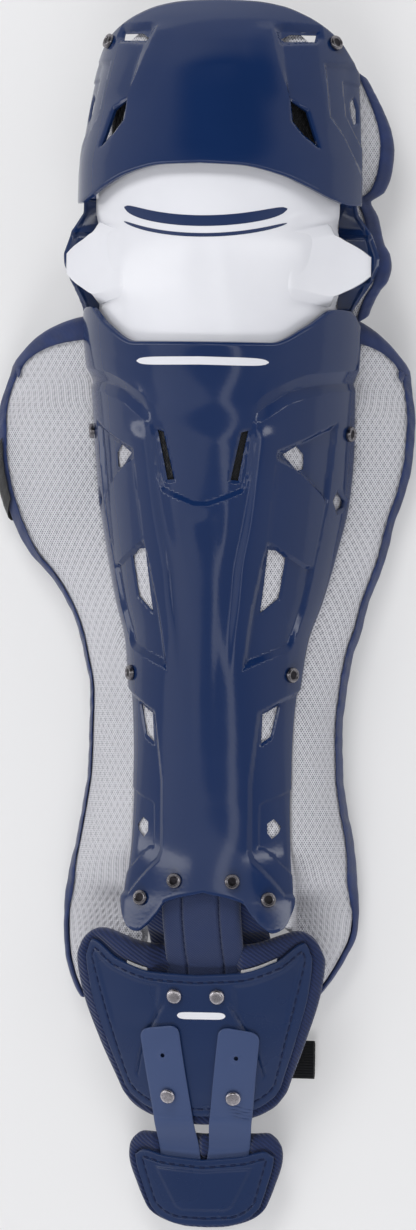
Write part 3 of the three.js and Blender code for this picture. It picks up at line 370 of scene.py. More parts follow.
# Outlines on the thigh cap, right side
THIGH_PANEL = table("across along", [
    [0.670, 0.690], [0.680, 0.648], [0.702, 0.424], [0.803, 0.330], [0.917, 0.204],
    [1.100, 0.030], [1.100, 0.690],
])
THIGH_INNER_PANEL = table("across along", [
    [0.827, 0.608], [1.100, 0.575], [1.100, 0.240], [0.975, 0.290], [0.841, 0.436],
])
THIGH_SCOOP = table("across along", [
    [0.359, 0.857], [0.431, 0.876], [0.710, 0.868], [0.700, 0.800], [0.640, 0.770], [0.400, 0.765],
])
THIGH_CREASE = table("at inner outer", [
    [0.480, 0.462, 0.466],
    [0.550, 0.437, 0.452],
    [0.734, 0.372, 0.426],
    [0.835, 0.349, 0.417],
])
THIGH_VENTS = [
    table("across along", [[0.410, 0.806], [0.470, 0.830], [0.660, 0.830], [0.640, 0.796], [0.430, 0.792]]),
    table("across along", [[0.465, 0.500], [0.560, 0.450], [0.632, 0.276], [0.538, 0.334], [0.474, 0.398]]),
    table("across along", [
        [0.905, 0.505], [0.935, 0.520], [0.965, 0.470], [0.965, 0.405], [0.935, 0.395], [0.905, 0.450],
    ]),
]

# Raised trapezoid in the middle of the toe plate
TOE_FIELD = table("across along", [
    [0.600, 0.640], [0.000, 0.600], [-0.600, 0.640], [-0.430, 0.230],
    [-0.330, 0.190], [0.330, 0.190], [0.430, 0.230],
])


# Mesh tools
def deselect():
    if bpy.context.object and bpy.context.object.mode != "OBJECT":
        bpy.ops.object.mode_set(mode="OBJECT")
    bpy.ops.object.select_all(action="DESELECT")


def choose(piece):
    deselect()
    piece.select_set(True)
    bpy.context.view_layer.objects.active = piece


def apply(piece, kind, **settings):
    """Adds a modifier with its settings and applies it."""
    choose(piece)
    modifier = piece.modifiers.new(kind.title(), kind)
    for name, value in settings.items():
        setattr(modifier, name, value)
    bpy.ops.object.modifier_apply(modifier=modifier.name)


def edit_all(piece, *steps):
    """Runs edit operators, one after another, on the whole of a piece."""
    choose(piece)
    bpy.ops.object.mode_set(mode="EDIT")
    bpy.ops.mesh.select_all(action="SELECT")
    for step in steps:
        step()
    bpy.ops.object.mode_set(mode="OBJECT")


def face_up(piece):
    """Turns a closed piece right side out when its front faces the floor."""
    if piece.data.polygons[0].normal.z < 0:
        edit_all(piece, bpy.ops.mesh.flip_normals)


def face_outwards():
    bpy.ops.mesh.normals_make_consistent(inside=False)


def points_of(piece):
    flat = np.empty(len(piece.data.vertices) * 3)
    piece.data.vertices.foreach_get("co", flat)
    return flat.reshape(-1, 3)


def put(piece, points):
    piece.data.vertices.foreach_set("co", np.asarray(points, float).ravel())
    piece.data.update()


def spread(low, high, step):
    return np.linspace(low, high, max(2, int(round((high - low) / step)) + 1))


def grid_piece(name, columns, rows):
    """Grid whose points carry a place across and a place along from two lists."""
    deselect()
    bpy.ops.mesh.primitive_grid_add(x_subdivisions=len(columns) - 1, y_subdivisions=len(rows) - 1, size=2)
    piece = bpy.context.object
    piece.name = name
    piece.data.name = name
    flat = points_of(piece)
    u = np.interp(flat[:, 0], np.linspace(-1, 1, len(columns)), columns)
    v = np.interp(flat[:, 1], np.linspace(-1, 1, len(rows)), rows)
    return piece, u, v


def wall(piece, inner):
    """Closes an open sheet with a second sheet behind it, at the given points."""
    front = points_of(piece)
    apply(piece, "SOLIDIFY", thickness=SHELL_WALL, offset=-1)
    put(piece, np.concatenate([front, inner]))


def shade(piece, angle=50):
    choose(piece)
    bpy.ops.object.shade_smooth_by_angle(angle=math.radians(angle))


def set_map(piece, across, along):
    """Writes a place across and along, in metres, as the map that a weave follows."""
    mesh = piece.data
    layer = mesh.uv_layers.new(name="Weave")
    corners = np.empty(len(mesh.loops), dtype=int)
    mesh.loops.foreach_get("vertex_index", corners)
    layer.data.foreach_set("uv", np.stack([across[corners], along[corners]], axis=-1).ravel())
    while len(mesh.uv_layers) > 1:
        mesh.uv_layers.remove(mesh.uv_layers[0])


def set_attribute(piece, name, values):
    attribute = piece.data.attributes.new(name, "FLOAT", "POINT")
    attribute.data.foreach_set("value", np.asarray(values, float))


def finish(piece, material, *nodes, slot=None):
    """Moves a piece into the frame, gives it its material and lets it stand for its nodes."""
    put(piece, points_of(piece) + PART_PLACE)
    piece.data.materials.clear()
    piece.data.materials.append(material)
    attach(piece, "root")
    if nodes:
        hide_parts(*nodes)
    return piece


# Scored sheets: a flat half shell that is cut along its creases before it is bent
def unrolled(f, rows):
    """Corners of an outline on the flat sheet."""
    arcs = arc_length(f, rows["along"])
    return np.stack([rows["across"] * arcs, rows["along"] * f["length"]], axis=-1)


def moved_in(outline, distance):
    """Outline with each of its edges moved inwards by a distance."""
    ahead = np.roll(outline, -1, axis=0)
    area = np.sum(outline[:, 0] * ahead[:, 1] - ahead[:, 0] * outline[:, 1])
    run = unit(ahead - outline) * np.sign(area)
    inward = np.stack([-run[:, 1], run[:, 0]], axis=-1)
    before = np.roll(inward, 1, axis=0)
    share = 1 + np.sum(before * inward, axis=-1, keepdims=True)
    return outline + (before + inward) / np.maximum(share, 0.35) * distance


def depth_inside(points, outline):
    """Distance of points from an outline, positive inside it."""
    nearest = np.full(len(points), np.inf)
    inside = np.zeros(len(points), bool)
    for start, end in zip(outline, np.roll(outline, -1, axis=0)):
        run = end - start
        share = np.clip((points - start) @ run / max(run @ run, 1e-12), 0, 1)
        gap = np.linalg.norm(points - start - share[:, None] * run, axis=-1)
        nearest = np.minimum(nearest, gap)
        crosses = (points[:, 1] > start[1]) != (points[:, 1] > end[1])
        if end[1] != start[1]:
            meets = start[0] + (points[:, 1] - start[1]) * run[0] / run[1]
            inside ^= crosses & (points[:, 0] < meets)
    return np.where(inside, nearest, -nearest)


def score(mesh, outlines, near):
    """Cuts the faces of a flat sheet along each edge of each outline."""
    for outline in outlines:
        low = outline.min(axis=0) - 2 * near
        high = outline.max(axis=0) + 2 * near
        faces = set()
        for face in mesh.faces:
            centre = face.calc_center_median()
            if low[0] < centre.x < high[0] and low[1] < centre.y < high[1]:
                faces.add(face)
        for start, end in zip(outline, np.roll(outline, -1, axis=0)):
            score_edge(mesh, faces, start, end, near)


def score_edge(mesh, faces, start, end, near):
    length = float(np.linalg.norm(end - start))
    east, north = (end - start) / max(length, 1e-9)
    close = []
    for face in faces:
        centre = face.calc_center_median()
        right = centre.x - start[0]
        up = centre.y - start[1]
        if -near < right * east + up * north < length + near and abs(up * east - right * north) < near:
            close.append(face)
    if not close:
        return
    edges = {edge for face in close for edge in face.edges}
    corners = {corner for face in close for corner in face.verts}
    cut = bmesh.ops.bisect_plane(
        mesh, geom=close + list(edges) + list(corners), dist=0.00002,
        plane_co=(start[0], start[1], 0), plane_no=(north, -east, 0),
    )
    faces.update(item for item in cut["geom"] if isinstance(item, bmesh.types.BMFace))


def moulded(name, f, bottom, top, reach, relief, vents, creases, cell=SHELL_CELL):
    """Shell on a form: scored, vented, mirrored, bent on its form and given its wall."""
    widest = arc_length(f, np.linspace(0.1, 0.9, 9)).max() * reach
    lip = SCORE_WIDTH / widest
    columns = np.concatenate([spread(0, reach - lip, reach * cell / widest), [reach]])
    tall = SCORE_WIDTH / f["length"]
    rows = np.concatenate([[0], spread(tall, 1 - tall, cell / f["length"]), [1]])
    piece, u, v = grid_piece(name, columns, rows)
    along = mix(read(bottom, "along", u), read(top, "along", u), v)
    put(piece, np.stack([u * arc_length(f, along), along * f["length"], 0 * u], axis=-1))

    flat_vents = [unrolled(f, vent) for vent in vents]
    rims = [moved_in(vent, -VENT_BEVEL) for vent in flat_vents]
    mesh = bmesh.new()
    mesh.from_mesh(piece.data)
    score(mesh, creases + rims + flat_vents, cell * 1.3)
    bmesh.ops.remove_doubles(mesh, verts=mesh.verts, dist=0.00008)
    centres = np.array([face.calc_center_median()[:2] for face in mesh.faces])
    gone = np.zeros(len(centres), bool)
    for vent in flat_vents:
        gone |= depth_inside(centres, vent) > 0
    doomed = [face for face, out in zip(mesh.faces, gone) if out]
    bmesh.ops.delete(mesh, geom=doomed, context="FACES")
    mesh.to_mesh(piece.data)
    mesh.free()
    apply(piece, "MIRROR", use_mirror_merge=True, merge_threshold=0.00002)

    flat = points_of(piece)
    along = flat[:, 1] / f["length"]
    across = flat[:, 0] / arc_length(f, along)
    away = np.abs(across)
    folded = np.stack([np.abs(flat[:, 0]), flat[:, 1]], axis=-1)
    height = relief(folded, away, along)
    for vent in flat_vents:
        height -= VENT_DROP * (1 - ramp(-depth_inside(folded, vent), 0, VENT_BEVEL))
    height = np.maximum(height, DEEPEST)
    rim = np.minimum(
        np.minimum(along - read(bottom, "along", away), read(top, "along", away) - along) * f["length"],
        (reach - away) * arc_length(f, along),
    )
    height -= EDGE_DROP * (1 - ramp(rim, 0, SCORE_WIDTH))
    put(piece, point_on(f, across, along, height))
    wall(piece, point_on(f, across, along, -SHELL_WALL))
    shade(piece, 40)
    return piece


def sunk(folded, outline, depth, bevel):
    return -depth * ramp(depth_inside(folded, outline), 0, bevel)


# Materials
def linear(colour):
    values = [channel / 255 for channel in colour]
    return [c / 12.92 if c <= 0.04045 else ((c + 0.055) / 1.055) ** 2.4 for c in values] + [1.0]


def toned(colour, factor, lift=0.0):
    """A colour made darker or paler, as the shader takes it."""
    return [min(1.0, c * factor + lift) for c in linear(colour)[:3]] + [1.0]


class Nodes:
    """Node tree of one material, with short calls for the nodes used here."""

    def __init__(self, name):
        self.material = bpy.data.materials.new(name)
        self.material.use_nodes = True
        self.tree = self.material.node_tree
        self.shader = self.tree.nodes["Principled BSDF"]

    def add(self, kind, inputs=None, **settings):
        node = self.tree.nodes.new(kind)
        for name, value in settings.items():
            setattr(node, name, value)
        for name, value in (inputs or {}).items():
            self.feed(node.inputs[name], value)
        return node

    def feed(self, socket, value):
        if isinstance(value, bpy.types.NodeSocket):
            self.tree.links.new(value, socket)
        else:
            socket.default_value = value

    def math(self, operation, a, b=0.0):
        node = self.add("ShaderNodeMath", operation=operation)
        self.feed(node.inputs[0], a)
        self.feed(node.inputs[1], b)
        return node.outputs[0]

    def object_place(self):
        return self.add("ShaderNodeTexCoord").outputs["Object"]

    def weave_place(self):
        return self.add("ShaderNodeUVMap", uv_map="Weave").outputs["UV"]

    def attribute(self, name):
        return self.add("ShaderNodeAttribute", attribute_name=name).outputs["Fac"]

    def noise(self, place, scale, detail=2.0, roughness=0.5):
        node = self.add("ShaderNodeTexNoise", {
            "Vector": place, "Scale": scale, "Detail": detail, "Roughness": roughness,
        })
        return node.outputs["Fac"]

    def remap(self, value, low, high, to_low=0.0, to_high=1.0):
        node = self.add("ShaderNodeMapRange", {
            "Value": value, "From Min": low, "From Max": high, "To Min": to_low, "To Max": to_high,
        })
        return node.outputs["Result"]

    def blend(self, share, first, second):
        node = self.add("ShaderNodeMix", data_type="RGBA")
        self.feed(node.inputs["Factor"], share)
        self.feed(node.inputs["A"], first)
        self.feed(node.inputs["B"], second)
        return node.outputs["Result"]

    def bump(self, height, distance, strength=1.0, under=None):
        inputs = {"Height": height, "Distance": distance, "Strength": strength}
        if under is not None:
            inputs["Normal"] = under
        return self.add("ShaderNodeBump", inputs).outputs["Normal"]

    def split(self, place):
        node = self.add("ShaderNodeSeparateXYZ", {"Vector": place})
        return node.outputs["X"], node.outputs["Y"]

    def set(self, **values):
        for name, value in values.items():
            self.feed(self.shader.inputs[name.replace("_", " ")], value)


def plastic(name, colour, roughness, wear, coat=0.0):
    """Moulded plastic: a faint orange peel, cloudy gloss and fine rubs."""
    n = Nodes(name)
    place = n.object_place()
    cloud = n.noise(place, 18, 3)
    peel = n.noise(place, 420, 2)
    rubs = n.remap(n.noise(place, 900, 4, 0.7), 0.62, 0.75)
    tone = n.remap(cloud, 0.3, 0.7, 0.0, 0.35)
    pale = toned(colour, 1.2, 0.001)
    n.set(
        Base_Color=n.blend(tone, linear(colour), pale),
        Roughness=n.math("ADD", n.remap(cloud, 0.25, 0.75, roughness * 0.8, roughness * 1.3),
                         n.math("MULTIPLY", rubs, wear)),
        Normal=n.bump(peel, 0.00006, 0.35),
    )
    n.shader.inputs["Coat Weight"].default_value = coat
    n.shader.inputs["Coat Roughness"].default_value = 0.08
    n.shader.inputs["Specular IOR Level"].default_value = 0.5
    return n.material


def ridged(n, place, pitch, angle):
    """Wave from 0 to 1 across lines that lie at an angle on the map."""
    x, y = n.split(place)
    turned = n.math("ADD", n.math("MULTIPLY", x, math.cos(angle)), n.math("MULTIPLY", y, math.sin(angle)))
    wave = n.math("SINE", n.math("MULTIPLY", turned, 2 * math.pi / pitch))
    return n.math("ADD", n.math("MULTIPLY", wave, 0.5), 0.5)


def knit(name, colour, pitch, sheen=0.3):
    """Fine woven cloth with a crossed thread and a soft sheen."""
    n = Nodes(name)
    place = n.weave_place()
    threads = n.math("MULTIPLY", ridged(n, place, pitch, 0.5), ridged(n, place, pitch, 2.07))
    cloud = n.noise(n.object_place(), 60, 3)
    dark = toned(colour, 0.55)
    tone = n.math("MULTIPLY", n.remap(threads, 0.0, 0.6, 0.2, 1.0), n.remap(cloud, 0.3, 0.7, 0.75, 1.0))
    n.set(
        Base_Color=n.blend(tone, dark, linear(colour)),
        Roughness=n.remap(cloud, 0.3, 0.7, 0.7, 0.9),
        Normal=n.bump(n.math("ADD", threads, n.math("MULTIPLY", cloud, 0.8)), pitch * 0.35, 0.8),
    )
    n.shader.inputs["Sheen Weight"].default_value = sheen
    n.shader.inputs["Sheen Roughness"].default_value = 0.4
    return n.material


def twill(name, colour):
    """Twill with clear diagonal lines."""
    n = Nodes(name)
    place = n.weave_place()
    lines = ridged(n, place, 0.0021, 0.95)
    threads = ridged(n, place, 0.0006, 2.5)
    cloud = n.noise(n.object_place(), 70, 3)
    dark = toned(colour, 0.5)
    tone = n.math("MULTIPLY", n.remap(lines, 0.0, 0.7, 0.25, 1.0), n.remap(cloud, 0.3, 0.7, 0.8, 1.0))
    height = n.math("ADD", lines, n.math("MULTIPLY", threads, 0.25))
    n.set(
        Base_Color=n.blend(tone, dark, linear(colour)),
        Roughness=0.82,
        Normal=n.bump(height, 0.0005, 0.8),
    )
    n.shader.inputs["Sheen Weight"].default_value = 0.25
    return n.material


DIMPLE_PITCH = 0.0042
HOLE_PITCH = 0.00135
MESH_SLANT = 0.62


def mesh_fabric(name):
    """Spacer mesh: staggered dimples with painted shade in them, fine knit holes, and black painted shade
    where the pad lies behind the vents.
    """
    n = Nodes(name)
    place = n.weave_place()

    def crossed(pitch):
        """Diamond pattern of two waves that cross."""
        rising = ridged(n, place, pitch, MESH_SLANT)
        falling = ridged(n, place, pitch, math.pi - MESH_SLANT)
        return n.math("MULTIPLY", rising, falling)

    dimple = crossed(DIMPLE_PITCH)
    holes = crossed(HOLE_PITCH)
    cloud = n.noise(n.object_place(), 35, 3)
    patch = n.noise(n.object_place(), 9, 2)
    open_share = n.math("MULTIPLY", n.remap(holes, 0.30, 0.72), n.remap(patch, 0.35, 0.65, 0.6, 1.0))
    shadow = n.math("MULTIPLY", n.remap(dimple, 0.3, 0.95), 0.24)
    shown = n.math("MINIMUM", n.math("ADD", open_share, shadow), 1.0)
    body = n.blend(shown, linear(MESH_WHITE), linear(MESH_HOLE))
    # Painted shade: black where the pad lies in shade behind the shell's vents
    vent_shade = n.attribute("vent_shade")
    height = n.math("SUBTRACT", 1.0, n.math("ADD", dimple, n.math("MULTIPLY", holes, 0.4)))
    n.set(
        Base_Color=n.blend(vent_shade, body, linear(BLACK_WEB_AND_SHADE)),
        Roughness=n.remap(cloud, 0.3, 0.7, 0.8, 0.95),
        Normal=n.bump(height, 0.0009, 0.85),
    )
    n.shader.inputs["Sheen Weight"].default_value = 0.15
    return n.material


def webbing(name, colour):
    """Ribbed elastic webbing."""
    n = Nodes(name)
    place = n.weave_place()
    ribs = ridged(n, place, 0.0016, 0.0)
    weft = ridged(n, place, 0.0009, math.pi / 2)
    tone = n.remap(n.math("MULTIPLY", ribs, weft), 0.0, 0.6, 0.3, 1.0)
    pale = toned(colour, 1.6, 0.006)
    n.set(
        Base_Color=n.blend(tone, linear(colour), pale),
        Roughness=0.78,
        Normal=n.bump(n.math("ADD", ribs, n.math("MULTIPLY", weft, 0.6)), 0.0004, 0.8),
    )
    return n.material


def tape(name, colour):
    """Smooth folded tape with a faint cross rib."""
    n = Nodes(name)
    ribs = ridged(n, n.weave_place(), 0.0008, math.pi / 2)
    cloud = n.noise(n.object_place(), 120, 3)
    pale = toned(colour, 1.5, 0.004)
    n.set(
        Base_Color=n.blend(n.remap(cloud, 0.3, 0.7), linear(colour), pale),
        Roughness=n.remap(cloud, 0.3, 0.7, 0.5, 0.7),
        Normal=n.bump(n.math("ADD", ribs, n.math("MULTIPLY", cloud, 3.0)), 0.0003, 0.5),
    )
    n.shader.inputs["Sheen Weight"].default_value = 0.2
    return n.material


def steel(name, colour, roughness):
    """Plated metal with brushed rubs."""
    n = Nodes(name)
    place = n.object_place()
    rub = n.noise(place, 700, 4, 0.7)
    n.set(
        Base_Color=n.blend(n.remap(rub, 0.35, 0.65), linear(colour), toned(colour, 0.6)),
        Roughness=n.remap(rub, 0.3, 0.7, roughness * 0.7, roughness * 1.4),
        Normal=n.bump(rub, 0.00005, 0.4),
    )
    n.shader.inputs["Metallic"].default_value = 1.0
    return n.material


navy_gloss = plastic("navy_gloss_plastic", NAVY, 0.11, 0.1)
navy_satin = plastic("navy_satin_plastic", NAVY_SATIN, 0.27, 0.1)
white_gloss = plastic("white_gloss_plastic", CAP_WHITE, 0.16, 0.08)
strap_plastic = plastic("blue_strap_plastic", STRAP_BLUE, 0.38, 0.1)
navy_trim = plastic("navy_trim_film", NAVY, 0.3, 0.1)
white_trim = plastic("white_trim_film", CAP_WHITE, 0.35, 0.08)
white_mesh = mesh_fabric("white_mesh_cloth")
navy_knit = knit("navy_knit_cloth", NAVY_KNIT, 0.0009)
navy_twill = twill("navy_twill_cloth", NAVY_TWILL)
navy_tape = tape("navy_tape", NAVY_TAPE)
black_tape = tape("black_tab_cloth", BLACK_WEB_AND_SHADE)
black_web = webbing("black_elastic_web", BLACK_WEB_AND_SHADE)
navy_thread = knit("navy_thread", NAVY_THREAD, 0.0004, 0.1)
rivet_steel = steel("gunmetal_steel", GUNMETAL, 0.24)
bright_steel = steel("bright_rivet_steel", BRIGHT_STEEL, 0.24)
rivet_face = steel("dark_rivet_face", RIVET_DARK, 0.38)
backing_felt = knit("white_backing_cloth", BACKING_WHITE, 0.0008, 0.2)


# Hard shells. Each sunk outline has its depth and the width of its sloping edge
PANEL_DEPTH = 0.0024
PANEL_BEVEL = 0.0030
LOWER_PANEL_DEPTH = 0.0019
LOWEST_PANEL_DEPTH = 0.0011
LOWEST_PANEL_BEVEL = 0.0018
SPINE_DEPTH = 0.0014
SPINE_BEVEL = 0.0026
ISLAND_FOOT = 0.0016
ISLAND_TOP = 0.0008
COLLAR_DROP = 0.0019
COLLAR_RIDGE = 0.0007
CREASE_RISE = 0.0008
CREASE_GROOVE = 0.0010
CREASE_SIDE = 0.024
CREST_RISE = 0.0006
THIGH_SUNK = [
    {"outline": THIGH_PANEL, "depth": 0.0018, "bevel": 0.0026},
    {"outline": THIGH_INNER_PANEL, "depth": 0.0008, "bevel": 0.0012},
    {"outline": THIGH_SCOOP, "depth": 0.0020, "bevel": 0.004},
]
DENT_DEPTH = 0.0014


def collar_fold(away, along):
    """Ridge, valley and bright block edge that run round the collar."""
    block = read(COLLAR_FOLD, "block", away)
    valley = read(COLLAR_FOLD, "valley", away)
    ridge = read(COLLAR_FOLD, "ridge", away)
    down = -COLLAR_DROP * ramp(along, block, valley) * (along <= valley)
    rise = COLLAR_DROP + COLLAR_RIDGE
    up = (-COLLAR_DROP + rise * ramp(along, valley, ridge)) * ((along > valley) & (along <= ridge))
    beyond = COLLAR_RIDGE * (1 - ramp(along, ridge, ridge + 0.03)) * (along > ridge)
    return (down + up + beyond) * smooth(away, 0.27, 0.36)


def shin_crease(away, along):
    """Step up beside the middle band, with a shallow groove before it."""
    crease = read(SHIN_CREASE, "across", along)
    rising = smooth(away, crease - CREASE_SIDE, crease + CREASE_SIDE)
    step = CREASE_RISE * rising * (1 - smooth(away, crease + 0.03, crease + 0.17))
    groove = smooth(away, crease - 0.14, crease - CREASE_SIDE) * (1 - rising)
    return (step - CREASE_GROOVE * groove) * smooth(along, 0.40, 0.56) * (1 - smooth(along, 0.79, 0.82))


def shin_relief(folded, away, along):
    panel = sunk(folded, unrolled(shin, SHIN_PANEL), PANEL_DEPTH, PANEL_BEVEL)
    island = ramp(depth_inside(folded, unrolled(shin, SHIN_PANEL_PAD)), -ISLAND_FOOT, ISLAND_TOP)
    height = panel * (1 - 0.9 * island)
    height += sunk(folded, unrolled(shin, SHIN_LOWER_PANEL), LOWER_PANEL_DEPTH, PANEL_BEVEL)
    height += sunk(folded, unrolled(shin, SHIN_LOWEST_PANEL), LOWEST_PANEL_DEPTH, LOWEST_PANEL_BEVEL)
    spine = sunk(folded, unrolled(shin, SHIN_SPINE), SPINE_DEPTH, SPINE_BEVEL)
    height += spine * (1 - smooth(along, 0.79, 0.85))
    height += shin_crease(away, along)
    middle = CREST_RISE * (1 - smooth(away, 0.02, 0.12)) * (1 - smooth(along, 0.655, 0.685))
    height += middle * smooth(along, 0.15, 0.45)
    return height + collar_fold(away, along)


def fold_lines(f, fold):
    """Closed thin outlines along the creases of a fold, for scoring."""
    lines = []
    for column in ("ridge", "valley", "block"):
        across = np.concatenate([fold["at"], fold["at"][::-1]])
        along = np.concatenate([fold[column], fold[column][::-1] - 0.0005])
        lines.append(unrolled(f, {"across": across, "along": along}))
    return lines


def shin_shell():
    creases = []
    for outline, bevel in [
        (SHIN_PANEL, PANEL_BEVEL), (SHIN_LOWER_PANEL, PANEL_BEVEL),
        (SHIN_LOWEST_PANEL, LOWEST_PANEL_BEVEL), (SHIN_SPINE, SPINE_BEVEL),
    ]:
        flat = unrolled(shin, outline)
        creases += [flat, moved_in(flat, bevel)]
    island = unrolled(shin, SHIN_PANEL_PAD)
    creases += [moved_in(island, -ISLAND_FOOT), moved_in(island, ISLAND_TOP)]
    creases += fold_lines(shin, COLLAR_FOLD)
    piece = moulded("shin_guard_shell", shin, SHIN_BOTTOM, SHIN_TOP, 1.0, shin_relief, SHIN_VENTS, creases)
    return finish(piece, navy_gloss, "shin_shell", slot="shell")


def thigh_relief(folded, away, along):
    panel, inner_panel, scoop = [
        sunk(folded, unrolled(thigh, row["outline"]), row["depth"], row["bevel"]) for row in THIGH_SUNK
    ]
    height = panel * (1 - 0.8 * smooth(away, 0.86, 1.0))
    height += inner_panel
    height += scoop
    inner = read(THIGH_CREASE, "inner", along)
    outer = read(THIGH_CREASE, "outer", along)
    rise = 0.0008 * smooth(away, inner - 0.16, inner) * (away <= inner)
    fall = (0.0008 - 0.0020 * ramp(away, inner, outer)) * ((away > inner) & (away <= outer))
    beyond = -0.0012 * (1 - smooth(away, outer, outer + 0.22)) * (away > outer)
    height += (rise + fall + beyond) * smooth(along, 0.44, 0.54) * (1 - smooth(along, 0.83, 0.88))
    return height


def thigh_cap():
    creases = []
    for row in THIGH_SUNK:
        flat = unrolled(thigh, row["outline"])
        creases += [flat, moved_in(flat, row["bevel"])]
    for column in ("inner", "outer"):
        across = np.concatenate([THIGH_CREASE[column], THIGH_CREASE[column][::-1] + 0.0008])
        along = np.concatenate([THIGH_CREASE["at"], THIGH_CREASE["at"][::-1]])
        creases.append(unrolled(thigh, {"across": across, "along": along}))
    piece = moulded(
        "thigh_guard_cap", thigh, THIGH_BOTTOM, THIGH_TOP, 1.0, thigh_relief, THIGH_VENTS, creases,
    )
    return finish(piece, navy_gloss, "thigh_cap", slot="shell")


# Ears of the knee cap: reach, height and lower and upper edge along each ear
EAR_ROWS = table("at reach height low high", [
    [0.00, 0.660, 0.828, 0.345, 0.545],
    [0.22, 0.785, 0.757, 0.330, 0.560],
    [0.50, 0.970, 0.655, 0.306, 0.588],
    [0.72, 1.085, 0.592, 0.334, 0.555],
    [0.88, 1.175, 0.549, 0.366, 0.524],
    [1.00, 1.245, 0.512, 0.402, 0.491],
])
EAR_SKIRT = 0.0065
EAR_SKIRT_START = 0.76


def ear(side):
    """Ear of the knee cap: a flat wing whose upper and lower edges slope down to the arch."""
    piece, u, v = grid_piece("ear", spread(0, 1, 0.02), spread(-1, 1, 0.04))
    place = u if side > 0 else 1 - u
    half = KNEE_WIDTH / 2
    reach = half * read(EAR_ROWS, "reach", place)
    low = read(EAR_ROWS, "low", place)
    high = read(EAR_ROWS, "high", place)
    on_arch = 1 - smooth(reach, half * 0.93, half)
    share = np.abs(v)
    skirt = ramp(share, EAR_SKIRT_START, 1)
    middle = KNEE_START + KNEE_LENGTH * (low + high) / 2
    aside = np.minimum(share / EAR_SKIRT_START, 1) * KNEE_LENGTH * (high - low) / 2
    aside += skirt * EAR_SKIRT * on_arch
    y = middle + np.sign(v) * aside
    along = (y - KNEE_START) / KNEE_LENGTH
    on_knee = np.minimum(reach, half_width(knee, along) * 0.999)
    arch = on_form(knee, across_at(knee, along, on_knee), along)[:, 2]
    level = HEIGHT * read(EAR_ROWS, "height", place) + 0.0003
    tip = np.minimum((1 - place) * 0.06, (1 - share) * 0.03)
    level -= 0.0005 * (1 - ramp(tip, 0, 0.0012)) * (1 - on_arch)
    top = mix(level, arch - 0.0006, skirt * on_arch)
    root = 1 - ramp(place, 0, 0.08)
    top = mix(top, arch - 0.0005, root)
    put(piece, np.stack([side * reach, y, top], axis=-1))
    wall(piece, np.stack([side * reach, y, top - SHELL_WALL], axis=-1))
    return piece


def knee_relief(folded, away, along):
    """Triangular dents above and below the root of each ear."""
    root = smooth(away, 0.48, 0.66)
    above = np.exp(-((along - 0.625) / 0.035) ** 2)
    below = np.exp(-((along - 0.265) / 0.035) ** 2)
    return -DENT_DEPTH * root * (above + below)


def knee_cap():
    piece = moulded("knee_guard_cap", knee, KNEE_BOTTOM, KNEE_TOP, 1.0, knee_relief, [], [])
    ears = [ear(1), ear(-1)]
    choose(piece)
    for item in ears:
        item.select_set(True)
    bpy.ops.object.join()
    shade(piece, 40)
    return finish(piece, white_gloss, "knee_cap", slot="knee_cap")


LINK_ROWS = table("at reach height", [
    [0.00, 1.056, 0.470],
    [0.13, 1.125, 0.460],
    [0.31, 1.235, 0.444],
    [0.44, 1.290, 0.436],
    [0.53, 1.295, 0.436],
    [0.73, 1.225, 0.446],
    [0.88, 1.125, 0.470],
    [1.00, 1.115, 0.497],
])


def side_link(side, label):
    piece, u, v = grid_piece("link_plate_" + label, spread(0, 1, 0.03), spread(0, 1, 0.018))
    place = u if side > 0 else 1 - u
    start = SHIN_START + SHIN_LENGTH - 0.005
    end = THIGH_START + 0.003
    inner = KNEE_WIDTH / 2 * 0.97

    def at(lift):
        outer = KNEE_WIDTH / 2 * np.interp(v, LINK_ROWS["at"], LINK_ROWS["reach"])
        height = mix(HEIGHT * 0.48, HEIGHT * np.interp(v, LINK_ROWS["at"], LINK_ROWS["height"]), place)
        return np.stack([side * mix(inner, outer, place), mix(start, end, v), height + lift], axis=-1)

    rim = np.minimum(1 - place, np.minimum(v, 1 - v) * 4)
    height = -0.0009 * ramp(rim, 0.12, 0.24) - 0.0006 * (1 - ramp(rim, 0, 0.05))
    height += 0.0012 * np.exp(-((v - 0.3) / 0.02) ** 2) + 0.0012 * np.exp(-((v - 0.72) / 0.02) ** 2)
    put(piece, at(height))
    wall(piece, at(-LINK_THICKNESS))
    shade(piece, 35)
    return finish(piece, navy_gloss, "side_link_" + label, slot="shell")


# Soft pads
def wing(base, knot, shoulder, tip, share):
    rest = 1 - share
    weights = (rest ** 3, 3 * rest ** 2 * share, 3 * rest * share ** 2, share ** 3)
    corners = (base, knot, shoulder, tip)
    x = sum(w * c[0] for w, c in zip(weights, corners))
    z = sum(w * c[1] for w, c in zip(weights, corners))
    return x, z


SHIN_RIM = table("at left right height", [
    [-0.112, 0.500, 0.306, 0.100],
    [-0.078, 0.541, 0.374, 0.100],
    [-0.032, 0.569, 0.435, 0.095],
    [0.005, 0.576, 0.470, 0.090],
    [0.043, 0.576, 0.477, 0.090],
    [0.088, 0.568, 0.473, 0.090],
    [0.144, 0.541, 0.462, 0.095],
    [0.203, 0.518, 0.436, 0.100],
    [0.259, 0.500, 0.420, 0.105],
    [0.326, 0.494, 0.418, 0.125],
    [0.385, 0.492, 0.430, 0.130],
    [0.449, 0.520, 0.451, 0.120],
    [0.492, 0.547, 0.480, 0.105],
    [0.535, 0.592, 0.502, 0.100],
    [0.575, 0.655, 0.535, 0.090],
    [0.615, 0.735, 0.565, 0.090],
    [0.666, 0.794, 0.592, 0.090],
    [0.713, 0.830, 0.628, 0.090],
    [0.765, 0.848, 0.652, 0.090],
    [0.829, 0.846, 0.659, 0.092],
    [0.861, 0.829, 0.652, 0.100],
    [0.900, 0.797, 0.639, 0.110],
    [0.921, 0.785, 0.632, 0.118],
    [0.944, 0.770, 0.618, 0.130],
    [0.975, 0.750, 0.604, 0.150],
])
